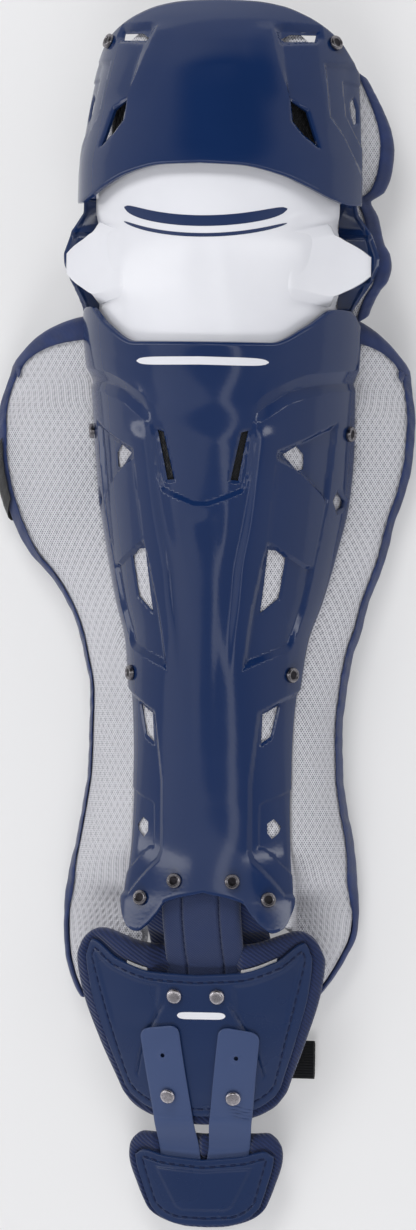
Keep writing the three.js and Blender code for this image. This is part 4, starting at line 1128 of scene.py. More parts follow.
SHIN_PAD_EDGES = table("at bottom top", [
    [0.00, 0.106, 0.970],
    [0.22, 0.106, 0.970],
    [0.30, 0.098, 0.970],
    [0.40, 0.066, 0.970],
    [0.50, 0.016, 0.970],
    [0.55, -0.025, 0.970],
    [0.60, -0.050, 0.969],
    [0.70, -0.080, 0.966],
    [0.80, -0.095, 0.958],
    [0.90, -0.106, 0.940],
    [1.00, -0.104, 0.900],
])
TUCK_TOP = 0.150
TUCK_BOTTOM = 0.045


def shin_pad_front(s, y):
    along = (y - SHIN_START) / SHIN_LENGTH
    side = np.where(s < 0, -1.0, 1.0)
    away = np.abs(s)
    lift = PAD_LIFT - smooth(along, 0.845, 0.905) * SHELL_WALL * 4
    under = point_on(shin, np.clip(2 * s, -1, 1), along, lift)
    rim = point_on(shin, 1.0 + 0 * s, along, lift)
    above = point_on(shin, 0.97 + 0 * s, along, lift)
    tuck = 1 - smooth(along, TUCK_BOTTOM, TUCK_TOP)
    base = (mix(rim[:, 0], SHIN_WIDTH * 0.27, tuck), mix(rim[:, 2], HEIGHT * 0.2, tuck))
    fall = unit(rim - above)
    reach = np.where(side < 0, read(SHIN_RIM, "left", along), read(SHIN_RIM, "right", along))
    tip = (SHIN_WIDTH * reach - TAPE_GAP - TAPE_THICKNESS, HEIGHT * read(SHIN_RIM, "height", along))
    knot = (base[0] + fall[:, 0] * 0.006, base[1] + fall[:, 2] * 0.006 * (1 - tuck))
    shoulder = (mix(base[0], tip[0], 0.85), mix(tip[1], base[1], 0.72))
    x, z = wing(base, knot, shoulder, tip, np.clip((away - 0.5) * 2, 0, 1))
    out = np.stack([side * x, y, z], axis=-1)
    under[:, 1] = y
    return np.where((away <= 0.5)[:, None], under, out)


def pad_thickness(s):
    away = np.abs(s)
    covered = mix(PAD_UNDER_SHELL, PAD_THICKNESS, smooth(away, 0.4, 0.55))
    shown = mix(PAD_THICKNESS, PAD_RIM, smooth(away, 0.72, 1))
    return np.where(away <= 0.55, covered, shown)


def edges_at(edges, start, length):
    def y_at(s, v):
        away = np.abs(s)
        return start + length * mix(read(edges, "bottom", away), read(edges, "top", away), v)

    return y_at


def pad_rim(front_at, y_at):
    """Front and back surface of a pad, at a place across and a share of its length."""

    def front(s, v):
        return front_at(s, y_at(s, v))

    def back(s, v):
        y = y_at(s, v)
        ahead = front_at(np.minimum(s + 0.01, 1), y)
        behind = front_at(np.maximum(s - 0.01, -1), y)
        run = ahead - behind
        run[:, 1] = 0
        run = unit(run)
        inward = np.stack([run[:, 2], 0 * s, -run[:, 0]], axis=-1)
        return front_at(s, y) + inward * pad_thickness(s)[:, None]

    return front, back


KNEE_PAD_ROWS = table("at crest half left right height", [
    [0.000, 0.845, 0.860, 1.110, 1.110, 0.300],
    [0.050, 0.875, 0.875, 1.140, 1.150, 0.308],
    [0.110, 0.908, 0.885, 1.200, 1.224, 0.325],
    [0.143, 0.922, 0.885, 1.235, 1.290, 0.342],
    [0.184, 0.929, 0.885, 1.260, 1.313, 0.350],
    [0.220, 0.933, 0.885, 1.240, 1.297, 0.340],
    [0.253, 0.935, 0.885, 1.200, 1.248, 0.325],
    [0.340, 0.930, 0.885, 1.140, 1.180, 0.270],
    [0.395, 0.922, 0.885, 1.120, 1.110, 0.230],
    [0.430, 0.915, 0.885, 1.115, 1.215, 0.215],
    [0.490, 0.903, 0.885, 1.115, 1.266, 0.205],
    [0.560, 0.890, 0.885, 1.115, 1.281, 0.200],
    [0.615, 0.882, 0.885, 1.110, 1.261, 0.205],
    [0.683, 0.868, 0.885, 1.095, 1.199, 0.215],
    [0.740, 0.845, 0.880, 1.080, 1.128, 0.225],
    [0.790, 0.815, 0.870, 1.050, 1.060, 0.235],
    [0.860, 0.720, 0.800, 0.940, 0.940, 0.255],
    [0.930, 0.628, 0.714, 0.830, 0.830, 0.270],
    [1.000, 0.510, 0.620, 0.740, 0.740, 0.270],
])
KNEE_PAD_EDGES = table("at bottom top", [
    [0.00, 0.000, 1.000],
    [0.25, 0.000, 0.968],
    [0.38, 0.000, 0.920],
    [0.50, 0.000, 0.868],
    [0.75, 0.000, 0.826],
    [0.90, 0.008, 0.806],
    [1.00, 0.028, 0.780],
])
KNEE_PAD_START = SHIN_START + SHIN_LENGTH * 0.970 + 0.002
KNEE_PAD_LENGTH = THIGH_START + THIGH_LENGTH * 0.96 - KNEE_PAD_START
KNEE_PAD_EDGE_HEIGHT = 0.522


def knee_pad_front(s, y):
    place = (y - KNEE_PAD_START) / KNEE_PAD_LENGTH
    side = np.where(s < 0, -1.0, 1.0)
    away = np.abs(s)
    half = KNEE_WIDTH / 2 * read(KNEE_PAD_ROWS, "half", place)
    crest = read(KNEE_PAD_ROWS, "crest", place)
    edge = np.minimum(KNEE_PAD_EDGE_HEIGHT, crest - 0.12)
    sweep = math.radians(80)
    angle = np.clip(2 * s, -1, 1) * sweep
    fall = (1 - np.cos(angle)) / (1 - math.cos(sweep))
    under = np.stack([half * np.sin(angle) / math.sin(sweep), y, HEIGHT * mix(crest, edge, fall)], axis=-1)
    reach = np.where(side < 0, read(KNEE_PAD_ROWS, "left", place), read(KNEE_PAD_ROWS, "right", place))
    base = (half, HEIGHT * edge)
    tip = (KNEE_WIDTH / 2 * reach, HEIGHT * read(KNEE_PAD_ROWS, "height", place))
    knot = (base[0] + 0.0005, mix(tip[1], base[1], 0.45))
    shoulder = (mix(base[0], tip[0], 0.55), mix(tip[1], base[1], 0.27))
    x, z = wing(base, knot, shoulder, tip, np.clip((away - 0.5) * 2, 0, 1))
    out = np.stack([side * x, y, z], axis=-1)
    return np.where((away <= 0.5)[:, None], under, out)


shin_y_at = edges_at(SHIN_PAD_EDGES, SHIN_START, SHIN_LENGTH)
knee_y_at = edges_at(KNEE_PAD_EDGES, KNEE_PAD_START, KNEE_PAD_LENGTH)
shin_pad_rim = pad_rim(shin_pad_front, shin_y_at)
knee_pad_rim = pad_rim(knee_pad_front, knee_y_at)


SWELL_FRAMES = 20


def swell(piece, pressure, cap, held):
    """Puffs a closed pad as its filling does. Points marked held stay, others move up to the cap."""
    start = points_of(piece)
    group = piece.vertex_groups.new(name="held")
    group.add([int(i) for i in np.flatnonzero(held)], 1.0, "REPLACE")
    choose(piece)
    cloth = piece.modifiers.new("Cloth", "CLOTH")
    cloth.settings.use_pressure = True
    cloth.settings.uniform_pressure_force = pressure
    cloth.settings.effector_weights.gravity = 0
    cloth.settings.vertex_group_mass = "held"
    cloth.settings.quality = 4
    cloth.point_cache.frame_start = 1
    cloth.point_cache.frame_end = SWELL_FRAMES
    scene = bpy.context.scene
    for step in range(1, SWELL_FRAMES + 1):
        scene.frame_set(step)
    bpy.ops.object.modifier_apply(modifier=cloth.name)
    scene.frame_set(1)
    piece.vertex_groups.clear()
    moved = points_of(piece) - start
    far = np.linalg.norm(moved, axis=-1, keepdims=True)
    put(piece, start + moved * np.minimum(1, cap[:, None] / np.maximum(far, 1e-9)))


WING_START = 0.07


def pad_piece(name, rim, material, columns, rows, cap, vent_shade, nodes, slot):
    """Closed soft pad: made between its two surfaces, swelled, and made finer once."""
    front, back = rim
    piece, s, v = grid_piece(name, columns, rows)
    outer = front(s, v)
    put(piece, outer)
    wall(piece, back(s, v))
    both_s = np.concatenate([s, s])
    both_v = np.concatenate([v, v])
    grid = outer.reshape(len(rows), len(columns), 3)
    steps = np.linalg.norm(np.diff(grid[:, :, [0, 2]], axis=1), axis=-1)
    run = np.concatenate([np.zeros((len(rows), 1)), np.cumsum(steps, axis=1)], axis=1)
    middle = run[:, [len(columns) // 2]]
    wing_start = [int(np.argmin(np.abs(columns - side * 0.54))) for side in (-1, 1)]
    on_left = run - run[:, [wing_start[0]]] - WING_START
    on_right = run - run[:, [wing_start[1]]] + WING_START
    share = s.reshape(run.shape)
    run = np.where(share < -0.53, on_left, np.where(share > 0.53, on_right, run - middle)).ravel()
    set_map(piece, np.concatenate([run, run]), np.concatenate([outer[:, 1], outer[:, 1]]))
    # Marks where the pad is painted black as shade behind the shell's vents
    set_attribute(piece, "vent_shade", vent_shade(both_s, both_v, np.concatenate([outer[:, 1], outer[:, 1]])))
    away = np.abs(both_s)
    held = (away < 0.5) | (away > 0.965) | (both_v < 0.015) | (both_v > 0.985)
    swell(piece, 3.0, cap(both_s, both_v), held)
    apply(piece, "SUBSURF", levels=1, render_levels=1)
    shade(piece, 80)
    finish(piece, material, *nodes, slot=slot)
    return piece


def shin_pad():
    def cap(s, v):
        away = np.abs(s)
        low = 1 - smooth(v, 0.14, 0.30)
        lobe = (0.006 + 0.004 * low) * smooth(away, 0.52, 0.66) * (1 - smooth(away, 0.9, 0.99))
        return np.maximum(lobe * smooth(v, 0, 0.03) * (1 - smooth(v, 0.97, 1)), 0.0001)

    # Painted shade: the part of the pad behind the shin shell's middle vents is painted black
    def vent_shade(s, v, y):
        along = (y - SHIN_START) / SHIN_LENGTH
        slot = (np.abs(s) < 0.16) & (along > 0.69) & (along < 0.84)
        return slot.astype(float)

    columns = np.concatenate([
        np.linspace(-1, -0.5, 24)[:-1], np.linspace(-0.5, 0.5, 36), np.linspace(0.5, 1, 24)[1:],
    ])
    rows = spread(0, 1, PAD_CELL / SHIN_LENGTH)
    return pad_piece(
        "mesh_shin_pad", shin_pad_rim, white_mesh, columns, rows, cap, vent_shade, ["shin_pad"], "mesh",
    )


def knee_pad():
    def cap(s, v):
        away = np.abs(s)
        lobe = 0.003 * smooth(away, 0.6, 0.75) * (1 - smooth(away, 0.88, 0.97))
        return np.maximum(lobe * smooth(v, 0, 0.05) * (1 - smooth(v, 0.95, 1)), 0.0001)

    # Painted shade: the part of the pad behind the thigh cap's lower vents is painted black
    def vent_shade(s, v, y):
        away = np.abs(s)
        low = (y < THIGH_START + 0.55 * THIGH_LENGTH) & (y > THIGH_START + 0.15 * THIGH_LENGTH)
        return ((away > 0.2) & (away < 0.45) & low).astype(float)

    columns = np.concatenate([
        np.linspace(-1, -0.5, 14)[:-1], np.linspace(-0.5, 0.5, 40), np.linspace(0.5, 1, 14)[1:],
    ])
    rows = spread(0, 1, PAD_CELL / KNEE_PAD_LENGTH)
    return pad_piece(
        "mesh_knee_pad", knee_pad_rim, white_mesh, columns, rows, cap, vent_shade, ["knee_pad"], "mesh",
    )


def side_path(side, low, high):
    """Places up the side rim of a pad, which never turn on to its top rim."""

    def path(t):
        return side + 0 * t, mix(low, high, t), 0 * t

    return path


# Share of a tape's path at which it turns from the side rim on to the top rim
TOP_TURN = 0.84


def side_and_top_path(side, inner):
    """Places up the side rim of a pad and then inwards along its top rim."""

    def path(t):
        up = ramp(t, 0, TOP_TURN)
        over = ramp(t, TOP_TURN, 1)
        turned = smooth(t, TOP_TURN - 0.03, TOP_TURN + 0.03)
        return side * mix(1, inner, over), up, turned

    return path


def folded_tape(name, rim, side, path, length, gap, reach, material, nodes, slot, thickness=TAPE_THICKNESS):
    """Tape folded over the rim of a pad, with a round back. The length sets how fine its mesh is."""
    front, back = rim
    piece, place, t = grid_piece(name, np.linspace(0, 1, 15), spread(0, 1, 0.0022 / length))
    place = place if side > 0 else 1 - place
    s, v, turned = path(t)
    inner_s = s * (1 - 0.06 * (1 - turned))
    inner_v = v - 0.025 * turned
    front_rim = front(s, v)
    back_rim = back(s, v)
    to_front = unit(front(inner_s, inner_v) - front_rim)
    to_back = unit(back(inner_s, inner_v) - back_rim)
    ahead = path(np.minimum(t + 0.01, 1))
    behind = path(np.maximum(t - 0.01, 0))
    up = unit(front(*ahead[:2]) - front(*behind[:2]))
    front_normal = unit(np.cross(up, to_front)) * side
    back_normal = unit(np.cross(to_back, up)) * side
    away = unit(-(to_front + to_back))
    half = np.linalg.norm(front_rim - back_rim, axis=-1, keepdims=True) / 2
    middle = (front_rim + back_rim) / 2
    ripple = 0.00022 * np.sin(t * 210) * np.sin(t * 67 + 1)
    wide = reach(t)
    flat_share = 0.0066 / (0.0132 + math.pi * 0.0035)

    def at(lift):
        height = (lift + ripple)[:, None]
        on_front = np.clip((flat_share - place) / flat_share, 0, 1)
        on_back = np.clip((place - 1 + flat_share) / flat_share, 0, 1)
        face = front_rim + to_front * (wide * on_front)[:, None] + front_normal * height
        rear = back_rim + to_back * (wide * on_back)[:, None] + back_normal * height
        turn = np.clip((place - flat_share) / (1 - 2 * flat_share), 0, 1)[:, None] * math.pi
        start = front_rim + front_normal * height - middle
        end = back_rim + back_normal * height - middle
        bulge = away * (half + lift[:, None]) * np.sin(turn)
        round_part = middle + start * np.cos(turn) + bulge + (end + start) * (1 - np.cos(turn)) / 2
        points = np.where(on_front[:, None] > 0, face, round_part)
        return np.where(on_back[:, None] > 0, rear, points)

    edge = np.minimum(place, 1 - place)
    put(piece, at(gap + thickness - thickness * 0.55 * (1 - ramp(edge, 0, 0.06))))
    wall(piece, at(np.full(len(t), gap)))
    set_map(piece, np.tile(place, 2) * 0.024, np.tile(t, 2) * length)
    shade(piece, 70)
    return finish(piece, material, *nodes, slot=slot)


def shin_tape_reach(t):
    """The tape is hidden at the low lobes, wide round the flare and narrower again over the top."""
    beside_shin = 1.2 * smooth(t, 0.10, 0.17)
    round_flare = 0.3 * smooth(t, 0.5, 0.68)
    over_top = 0.6 * smooth(t, 0.80, 0.92)
    return TAPE_REACH * (0.1 + beside_shin + round_flare - over_top)


def even_reach(reach):
    """The same reach all along a tape."""
    return lambda t: reach + 0 * t


def tapes():
    for side, label in ((-1, "left"), (1, "right")):
        folded_tape(
            "shin_rim_tape_" + label, shin_pad_rim, side, side_and_top_path(side, 0.53), 0.46, TAPE_GAP,
            shin_tape_reach, navy_tape, ["shin_pad_binding_" + label], "binding",
        )
        folded_tape(
            "knee_rim_tape_" + label, knee_pad_rim, side, side_path(side, 0, 1), 0.22, TAPE_GAP,
            even_reach(TAPE_REACH * 0.9), navy_tape, ["knee_pad_binding_" + label], "binding",
        )
    folded_tape(
        "black_rim_tab", shin_pad_rim, -1, side_path(-1, 0.775, 0.872), 0.036,
        2.4 * TAPE_GAP + TAPE_THICKNESS, even_reach(TAB_REACH), black_tape, ["label_tab"],
        "back_straps", thickness=TAB_THICKNESS,
    )


# Foot pads and the plates sewn on them
TOE_STRAPS = {
    -1: {"top": (-0.31, 0.495), "end": (-0.262, 0.60)},
    1: {"top": (0.36, 0.485), "end": (0.262, 0.60)},
}
PAD_REACH = 1.055
FOOT_ROLL = 0.0026
TONGUE_ROOM = 0.0056
STRAP_ROOM = 0.0042
ANKLE_PLATE_REACH = 0.90
TOE_PLATE_REACH = 0.88
STITCH_INSET = 0.0045


def plate_outline(f, bottom, top, reach):
    """Whole outline of a plate on the flat sheet."""
    away = np.linspace(0, reach, 25)
    low = {"across": away, "along": read(bottom, "along", away)}
    high = {"across": away[::-1], "along": read(top, "along", away[::-1])}
    half = np.concatenate([unrolled(f, low), unrolled(f, high)])
    return np.concatenate([half, (half * np.array([-1, 1]))[::-1]])


def foot_pad(name, f, bottom, top, thickness, cut, plate, node):
    """Soft pad under a plate, with a full rolled edge that rises beside the plate."""
    piece, u, v = grid_piece(name, spread(-1, 1, 0.03), spread(0, 1, FOOT_CELL / f["length"]))
    along = mix(read(bottom, "along", np.abs(u)), read(top, "along", np.abs(u)), v)
    arcs = arc_length(f, along)
    across = u * PAD_REACH
    flat = np.stack([across * arcs, along * f["length"]], axis=-1)
    beside = smooth(-depth_inside(flat, plate), 0.0004, 0.0034)
    edge = np.minimum((1 - np.abs(u)) * arcs, np.minimum(v, 1 - v) * f["length"] * 0.9)
    roll = FOOT_ROLL * (np.sqrt(np.clip(1 - (1 - ramp(edge, 0, 0.005)) ** 2, 0, 1)) - 1)
    lift = UNDER_SHELL + roll + FOOT_ROLL * beside - cut(across, along)
    put(piece, point_on(f, across, along, lift))
    wall(piece, point_on(f, across, along, UNDER_SHELL - thickness - roll))
    set_map(piece, np.tile(across * arcs, 2), np.tile(along * f["length"], 2))
    both = np.tile(edge, 2)
    swell(piece, 2.0, np.where(both < 0.004, 0.0006, 0.0001), both > 0.008)
    apply(piece, "SUBSURF", levels=1, render_levels=1)
    shade(piece, 80)
    finish(piece, navy_twill, node, slot="lining")
    return piece


def ankle_pad():
    plate = plate_outline(ankle, ANKLE_PLATE_BOTTOM, ANKLE_PLATE_TOP, ANKLE_PLATE_REACH)
    return foot_pad(
        "twill_ankle_pad", ankle, ANKLE_PAD_BOTTOM, ANKLE_PAD_TOP, PAD_UNDER_SHELL, tongue_cut, plate,
        "ankle_pad",
    )


def toe_pad():
    plate = plate_outline(toe, TOE_PLATE_BOTTOM, TOE_PLATE_TOP, TOE_PLATE_REACH)
    return foot_pad(
        "twill_toe_pad", toe, TOE_PAD_BOTTOM, TOE_PAD_TOP, PAD_UNDER_SHELL - 0.001, strap_cut, plate,
        "toe_pad",
    )


def tongue_cut(u, along):
    """Room that the ankle pad leaves for the tongue."""
    half = half_width(ankle, along) * np.abs(np.sin(u * ankle["sweep"])) / math.sin(ankle["sweep"])
    near = 1 - smooth(half, TONGUE_WIDTH / 2, TONGUE_WIDTH / 2 + 0.004)
    return near * TONGUE_ROOM * smooth(along, 0.62, 0.70)


def strap_cut(u, along):
    """Room that the toe pad leaves for the two straps."""
    place = on_form(toe, u, along)
    cut = 0 * u
    for side in (-1, 1):
        top = on_form(ankle, *TOE_STRAPS[side]["top"])[:2]
        end = on_form(toe, *TOE_STRAPS[side]["end"])[:2]
        run = unit(end - top)
        gap = np.abs((place[:, 0] - top[0]) * run[1] - (place[:, 1] - top[1]) * run[0])
        cut = np.maximum(cut, 1 - smooth(gap, TOE_STRAP_WIDTH / 2 - 0.001, TOE_STRAP_WIDTH / 2 + 0.003))
    return cut * STRAP_ROOM * smooth(along, 0.45, 0.6)


def sewn_rim(edge):
    """Groove that the stitches of a sewn plate lie in."""
    return -0.0006 * np.exp(-((edge - STITCH_INSET) / 0.0006) ** 2)


def ankle_relief(folded, away, along):
    edge = depth_inside(folded, plate_outline(ankle, ANKLE_PLATE_BOTTOM, ANKLE_PLATE_TOP, ANKLE_PLATE_REACH))
    fold = mix(0.23, 0.66, ramp(along, 0.64, 0.25))
    shown = smooth(along, 0.22, 0.27) * (1 - smooth(along, 0.58, 0.64))
    groove = -0.0013 * np.exp(-((away - fold) / 0.014) ** 2) * shown
    fan_start = 0.26 + 0.25 * (0.72 - along)
    fan = -0.0009 * smooth(away, fan_start, fan_start + 0.03) * smooth(along, 0.45, 0.6)
    return sewn_rim(edge) + groove + fan * smooth(edge, 0.006, 0.009)


def ankle_plate():
    piece = moulded(
        "sewn_ankle_plate", ankle, ANKLE_PLATE_BOTTOM, ANKLE_PLATE_TOP, ANKLE_PLATE_REACH, ankle_relief,
        [], [], cell=0.0011,
    )
    return finish(piece, navy_satin, "ankle_plate", slot="shell")


def toe_relief(folded, away, along):
    edge = depth_inside(folded, plate_outline(toe, TOE_PLATE_BOTTOM, TOE_PLATE_TOP, TOE_PLATE_REACH))
    return sewn_rim(edge) + 0.0006 * ramp(depth_inside(folded, unrolled(toe, TOE_FIELD)), 0, 0.0016)


def toe_plate():
    piece = moulded(
        "sewn_toe_plate", toe, TOE_PLATE_BOTTOM, TOE_PLATE_TOP, TOE_PLATE_REACH, toe_relief,
        [], [], cell=0.0009,
    )
    return finish(piece, navy_satin, "toe_plate", slot="shell")


def backing_slivers():
    """White backing cloth that shows at the top edge of the ankle plate, at both sides of the tongue."""
    for side, low, high in ((-1, 0.36, 0.52), (1, 0.33, 0.60)):
        places = [(side * a, read(ANKLE_PLATE_TOP, "along", a) + 0.008) for a in np.linspace(low, high, 21)]
        taper = np.full(len(places), 0.0009)
        name = "backing_sliver_" + ("left" if side < 0 else "right")
        trim_strip(name, ankle, places, taper, -0.0010, backing_felt, "mesh")


# Tongue and liner behind it
TONGUE_ROWS = table("at height thickness", [
    [0.00, 0.396, 0.34],
    [0.12, 0.413, 0.34],
    [0.24, 0.437, 0.42],
    [0.36, 0.495, 0.85],
    [0.50, 0.545, 1.00],
    [0.68, 0.590, 1.00],
    [0.82, 0.602, 1.00],
    [1.00, 0.605, 1.00],
])
TONGUE_START = ANKLE_START + ANKLE_LENGTH * 0.655
TONGUE_END = SHIN_START + SHIN_LENGTH * 0.102
TONGUE_SEAMS = (-0.47, 0.475)
TONGUE_ARCH = 0.022
TONGUE_MIDDLE = FOOT_SHIFT * 0.4


def on_tongue(u, v, lift):
    """Points of the tongue's front at shares across and along."""
    return np.stack([
        TONGUE_MIDDLE + u * TONGUE_WIDTH / 2,
        mix(TONGUE_START, TONGUE_END, v),
        HEIGHT * (read(TONGUE_ROWS, "height", v) - TONGUE_ARCH * u * u) + lift,
    ], axis=-1)


def rolled_lip(u, width):
    """Share from 0 to 1 by which the long edges of a padded band roll back."""
    return 1 - np.sqrt(np.clip(1 - (1 - ramp(1 - np.abs(u), 0, width)) ** 2, 0, 1))


def tongue():
    piece, u, v = grid_piece("channel_tongue", spread(-1, 1, 0.025), spread(0, 1, 0.012))
    thickness = TONGUE_THICKNESS * read(TONGUE_ROWS, "thickness", v)
    seam = sum(np.exp(-((u - place) / 0.035) ** 2) for place in TONGUE_SEAMS)
    lip = rolled_lip(u, 0.16)
    drop = 0.0018 * seam + 0.45 * thickness * lip
    put(piece, on_tongue(u, v, -drop))
    wall(piece, on_tongue(u, v, -thickness + 0.35 * thickness * lip))
    set_map(piece, np.tile(u * TONGUE_WIDTH / 2, 2), np.tile(mix(TONGUE_START, TONGUE_END, v), 2))
    swell(piece, 1.5, np.full(2 * len(u), 0.0003), np.tile((seam > 0.3) | (v < 0.05) | (v > 0.95), 2))
    shade(piece, 70)
    finish(piece, navy_knit, "tongue", slot="lining")
    return piece


LINER_ROWS = table("at height half", [
    [0.00, 0.320, 0.85],
    [0.17, 0.335, 0.95],
    [0.34, 0.360, 1.00],
    [0.46, 0.420, 1.00],
    [0.60, 0.475, 1.00],
    [0.78, 0.518, 1.00],
    [1.00, 0.532, 0.95],
])


def ankle_liner():
    piece, u, v = grid_piece("twill_liner", spread(-1, 1, 0.03), spread(0, 1, 0.03))
    start = ANKLE_START + ANKLE_LENGTH * 0.81
    end = SHIN_START + SHIN_LENGTH * 0.078
    half = GUARD_WIDTH * 0.212

    def at(lift):
        return np.stack([
            TONGUE_MIDDLE + u * half * read(LINER_ROWS, "half", v),
            mix(start, end, v),
            HEIGHT * (read(LINER_ROWS, "height", v) - 0.03 * u * u) + lift,
        ], axis=-1)

    lip = rolled_lip(u, 0.14)
    put(piece, at(-0.45 * LINER_THICKNESS * lip))
    wall(piece, at(-LINER_THICKNESS + 0.45 * LINER_THICKNESS * lip))
    set_map(piece, np.tile(u * half, 2), np.tile(mix(start, end, v), 2))
    swell(piece, 1.5, np.full(2 * len(u), 0.0003), np.tile(np.abs(u) < 0.8, 2))
    shade(piece, 70)
    finish(piece, navy_twill, "ankle_liner", slot="lining")
    return piece


# Toe straps
STRAP_LAYER = 2 * CLEARANCE + TOE_STRAP_THICKNESS
SPARE_HOLE_SHARE = 0.2
SPARE_HOLE_RADIUS = 0.0013


def strap_height(x, y):
    last_on_ankle = ANKLE_START + ANKLE_LENGTH * 0.03
    first_on_toe = TOE_LENGTH * 0.79
    share = (y - ANKLE_START) / ANKLE_LENGTH
    on_ankle = point_on(ankle, across_at(ankle, share, x - FOOT_SHIFT), share, STRAP_LAYER)[..., 2]
    lip = point_on(ankle, across_at(ankle, 0.03 + 0 * y, x - FOOT_SHIFT), 0.03 + 0 * y, STRAP_LAYER)[..., 2]
    toe_share = np.minimum(y, first_on_toe) / TOE_LENGTH
    on_toe = point_on(toe, across_at(toe, toe_share, x - FOOT_SHIFT), toe_share, UNDER_SHELL)[..., 2]
    bridge = smooth(y, first_on_toe, last_on_ankle)
    return np.where(y > last_on_ankle, on_ankle, mix(on_toe, lip, bridge))


def strap_place(side, share, aside):
    top = on_form(ankle, *TOE_STRAPS[side]["top"])
    end = on_form(toe, *TOE_STRAPS[side]["end"])
    run = end - top
    wide = unit(np.array([-run[1], run[0], 0]))
    points = top + run * np.asarray(share)[..., None] + wide * np.asarray(aside)[..., None]
    points[..., 2] = strap_height(points[..., 0], points[..., 1])
    return points


def toe_strap(side, label):
    piece, u, v = grid_piece("flat_toe_strap_" + label, spread(-1, 1, 0.05), spread(0, 1, 0.0075))
    half = TOE_STRAP_WIDTH / 2
    length = float(np.linalg.norm(
        on_form(ankle, *TOE_STRAPS[side]["top"]) - on_form(toe, *TOE_STRAPS[side]["end"])))
    corner = 0.0055
    from_top = v * length
    narrow = corner - np.sqrt(np.clip(corner ** 2 - np.clip(corner - from_top, 0, corner) ** 2, 0, None))
    aside = u * (half - narrow)
    points = strap_place(side, v, aside)
    edge = np.minimum((1 - np.abs(u)) * half, from_top)
    drop = 0.00035 * (1 - ramp(edge, 0, 0.0007))
    crease = np.zeros(len(u))
    if side > 0:
        for k, centre in enumerate((0.53, 0.555, 0.575, 0.60)):
            crease += np.exp(-((v - centre - 0.012 * u) / 0.0045) ** 2) * smooth(u, -0.5 + 0.1 * k, 0.3)
    spare = np.hypot(aside, (v - SPARE_HOLE_SHARE) * length)
    ring = 0.0004 * np.exp(-((spare - 0.0022) / 0.0008) ** 2)
    points[:, 2] += ring - drop - 0.0006 * crease
    put(piece, points)
    under = strap_place(side, v, aside)
    under[:, 2] -= TOE_STRAP_THICKNESS
    wall(piece, under)
    face_up(piece)
    spare_hole(piece, strap_place(side, SPARE_HOLE_SHARE, 0.0))
    shade(piece, 50)
    return finish(piece, strap_plastic, "toe_strap_" + label, slot="toe_straps")


def spare_hole(strap, place):
    """Cuts the empty rivet hole of a toe strap."""
    deselect()
    bpy.ops.mesh.primitive_cylinder_add(vertices=24, radius=SPARE_HOLE_RADIUS, depth=0.02, location=place)
    cutter = bpy.context.object
    apply(strap, "BOOLEAN", object=cutter, operation="DIFFERENCE", solver="EXACT")
    bpy.data.objects.remove(cutter)


# Rivets
RIVETS = [
    ("rivet_thigh", thigh, 0.78, 0.782),
    ("rivet_shin_upper", shin, 0.93, 0.803),
    ("rivet_shin_mid", shin, 0.80, 0.417),
    ("rivet_shin_inner", shin, 0.243, 0.086),
    ("rivet_shin_outer", shin, 0.576, 0.058),
    ("rivet_ankle", ankle, 0.16, 0.655),
]


RIVET_RIMMED = table("radius height", [
    [0.00, 0.70], [0.30, 0.70], [0.56, 0.72], [0.62, 0.80], [0.70, 0.97], [0.80, 1.00],
    [0.91, 0.88], [0.98, 0.62], [1.00, 0.40], [1.00, 0.00],
])
RIVET_DOMED = table("radius height", [
    [0.00, 0.92], [0.35, 0.91], [0.62, 0.86], [0.80, 0.76], [0.90, 0.64],
    [0.97, 0.46], [1.00, 0.30], [1.00, 0.00],
])


def rivet_model(profile, metal, dark_share):
    """Rivet on the Z axis: a turned head with its shank, and a dark face inside a share of its radius."""
    shank = RIVET_SHANK / RIVET_HEAD
    radius = np.concatenate([profile["radius"], [shank, shank, 0]]) * RIVET_HEAD
    height = np.concatenate([profile["height"] * RIVET_HEIGHT, [0, -SHELL_WALL, -SHELL_WALL]])
    places = np.linspace(0, 1, len(radius))
    piece, around, down = grid_piece("rivet", np.linspace(0, 1, 41), places)
    angle = -2 * math.pi * around
    reach = np.interp(down, places, radius)
    level = np.interp(down, places, height)
    put(piece, np.stack([reach * np.cos(angle), reach * np.sin(angle), level], axis=-1))
    edit_all(piece, lambda: bpy.ops.mesh.remove_doubles(threshold=0.00002), face_outwards)
    piece.data.materials.append(metal)
    piece.data.materials.append(rivet_face)
    for face in piece.data.polygons:
        if face.center.z > 0 and math.hypot(face.center.x, face.center.y) < dark_share * RIVET_HEAD:
            face.material_index = 1
    shade(piece, 35)
    return piece


def set_rivet(model, name, node, base, axis):
    """Copy of the rivet model, standing on a point along an axis."""
    piece = model.copy()
    piece.data = model.data.copy()
    piece.name = name
    bpy.context.scene.collection.objects.link(piece)
    turn = Vector(axis).to_track_quat("Z", "Y").to_matrix().to_4x4()
    piece.data.transform(Matrix.Translation(Vector(base + PART_PLACE)) @ turn)
    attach(piece, "root")
    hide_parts(node)
    return piece


def rivets():
    rimmed = rivet_model(RIVET_RIMMED, rivet_steel, 0.58)
    domed = rivet_model(RIVET_DOMED, bright_steel, 0)
    for side, label in ((-1, "left"), (1, "right")):
        for name, f, across, along in RIVETS:
            model = domed if f is ankle else rimmed
            axis = outward(f, side * across, along)
            base = on_form(f, side * across, along) + axis * CLEARANCE
            set_rivet(model, f"steel_{name}_{label}", f"{name}_{label}", base, axis)
        point = strap_place(side, 0.47, 0.0)
        share = (point[1] - ANKLE_START) / ANKLE_LENGTH
        across = across_at(ankle, share, point[0] - FOOT_SHIFT)
        axis = outward(ankle, across, share)
        base = on_form(ankle, across, share) + axis * (STRAP_LAYER + CLEARANCE)
        set_rivet(domed, f"steel_rivet_toe_strap_{label}", f"rivet_toe_strap_{label}", base, axis)
    bpy.data.objects.remove(rimmed)
    bpy.data.objects.remove(domed)


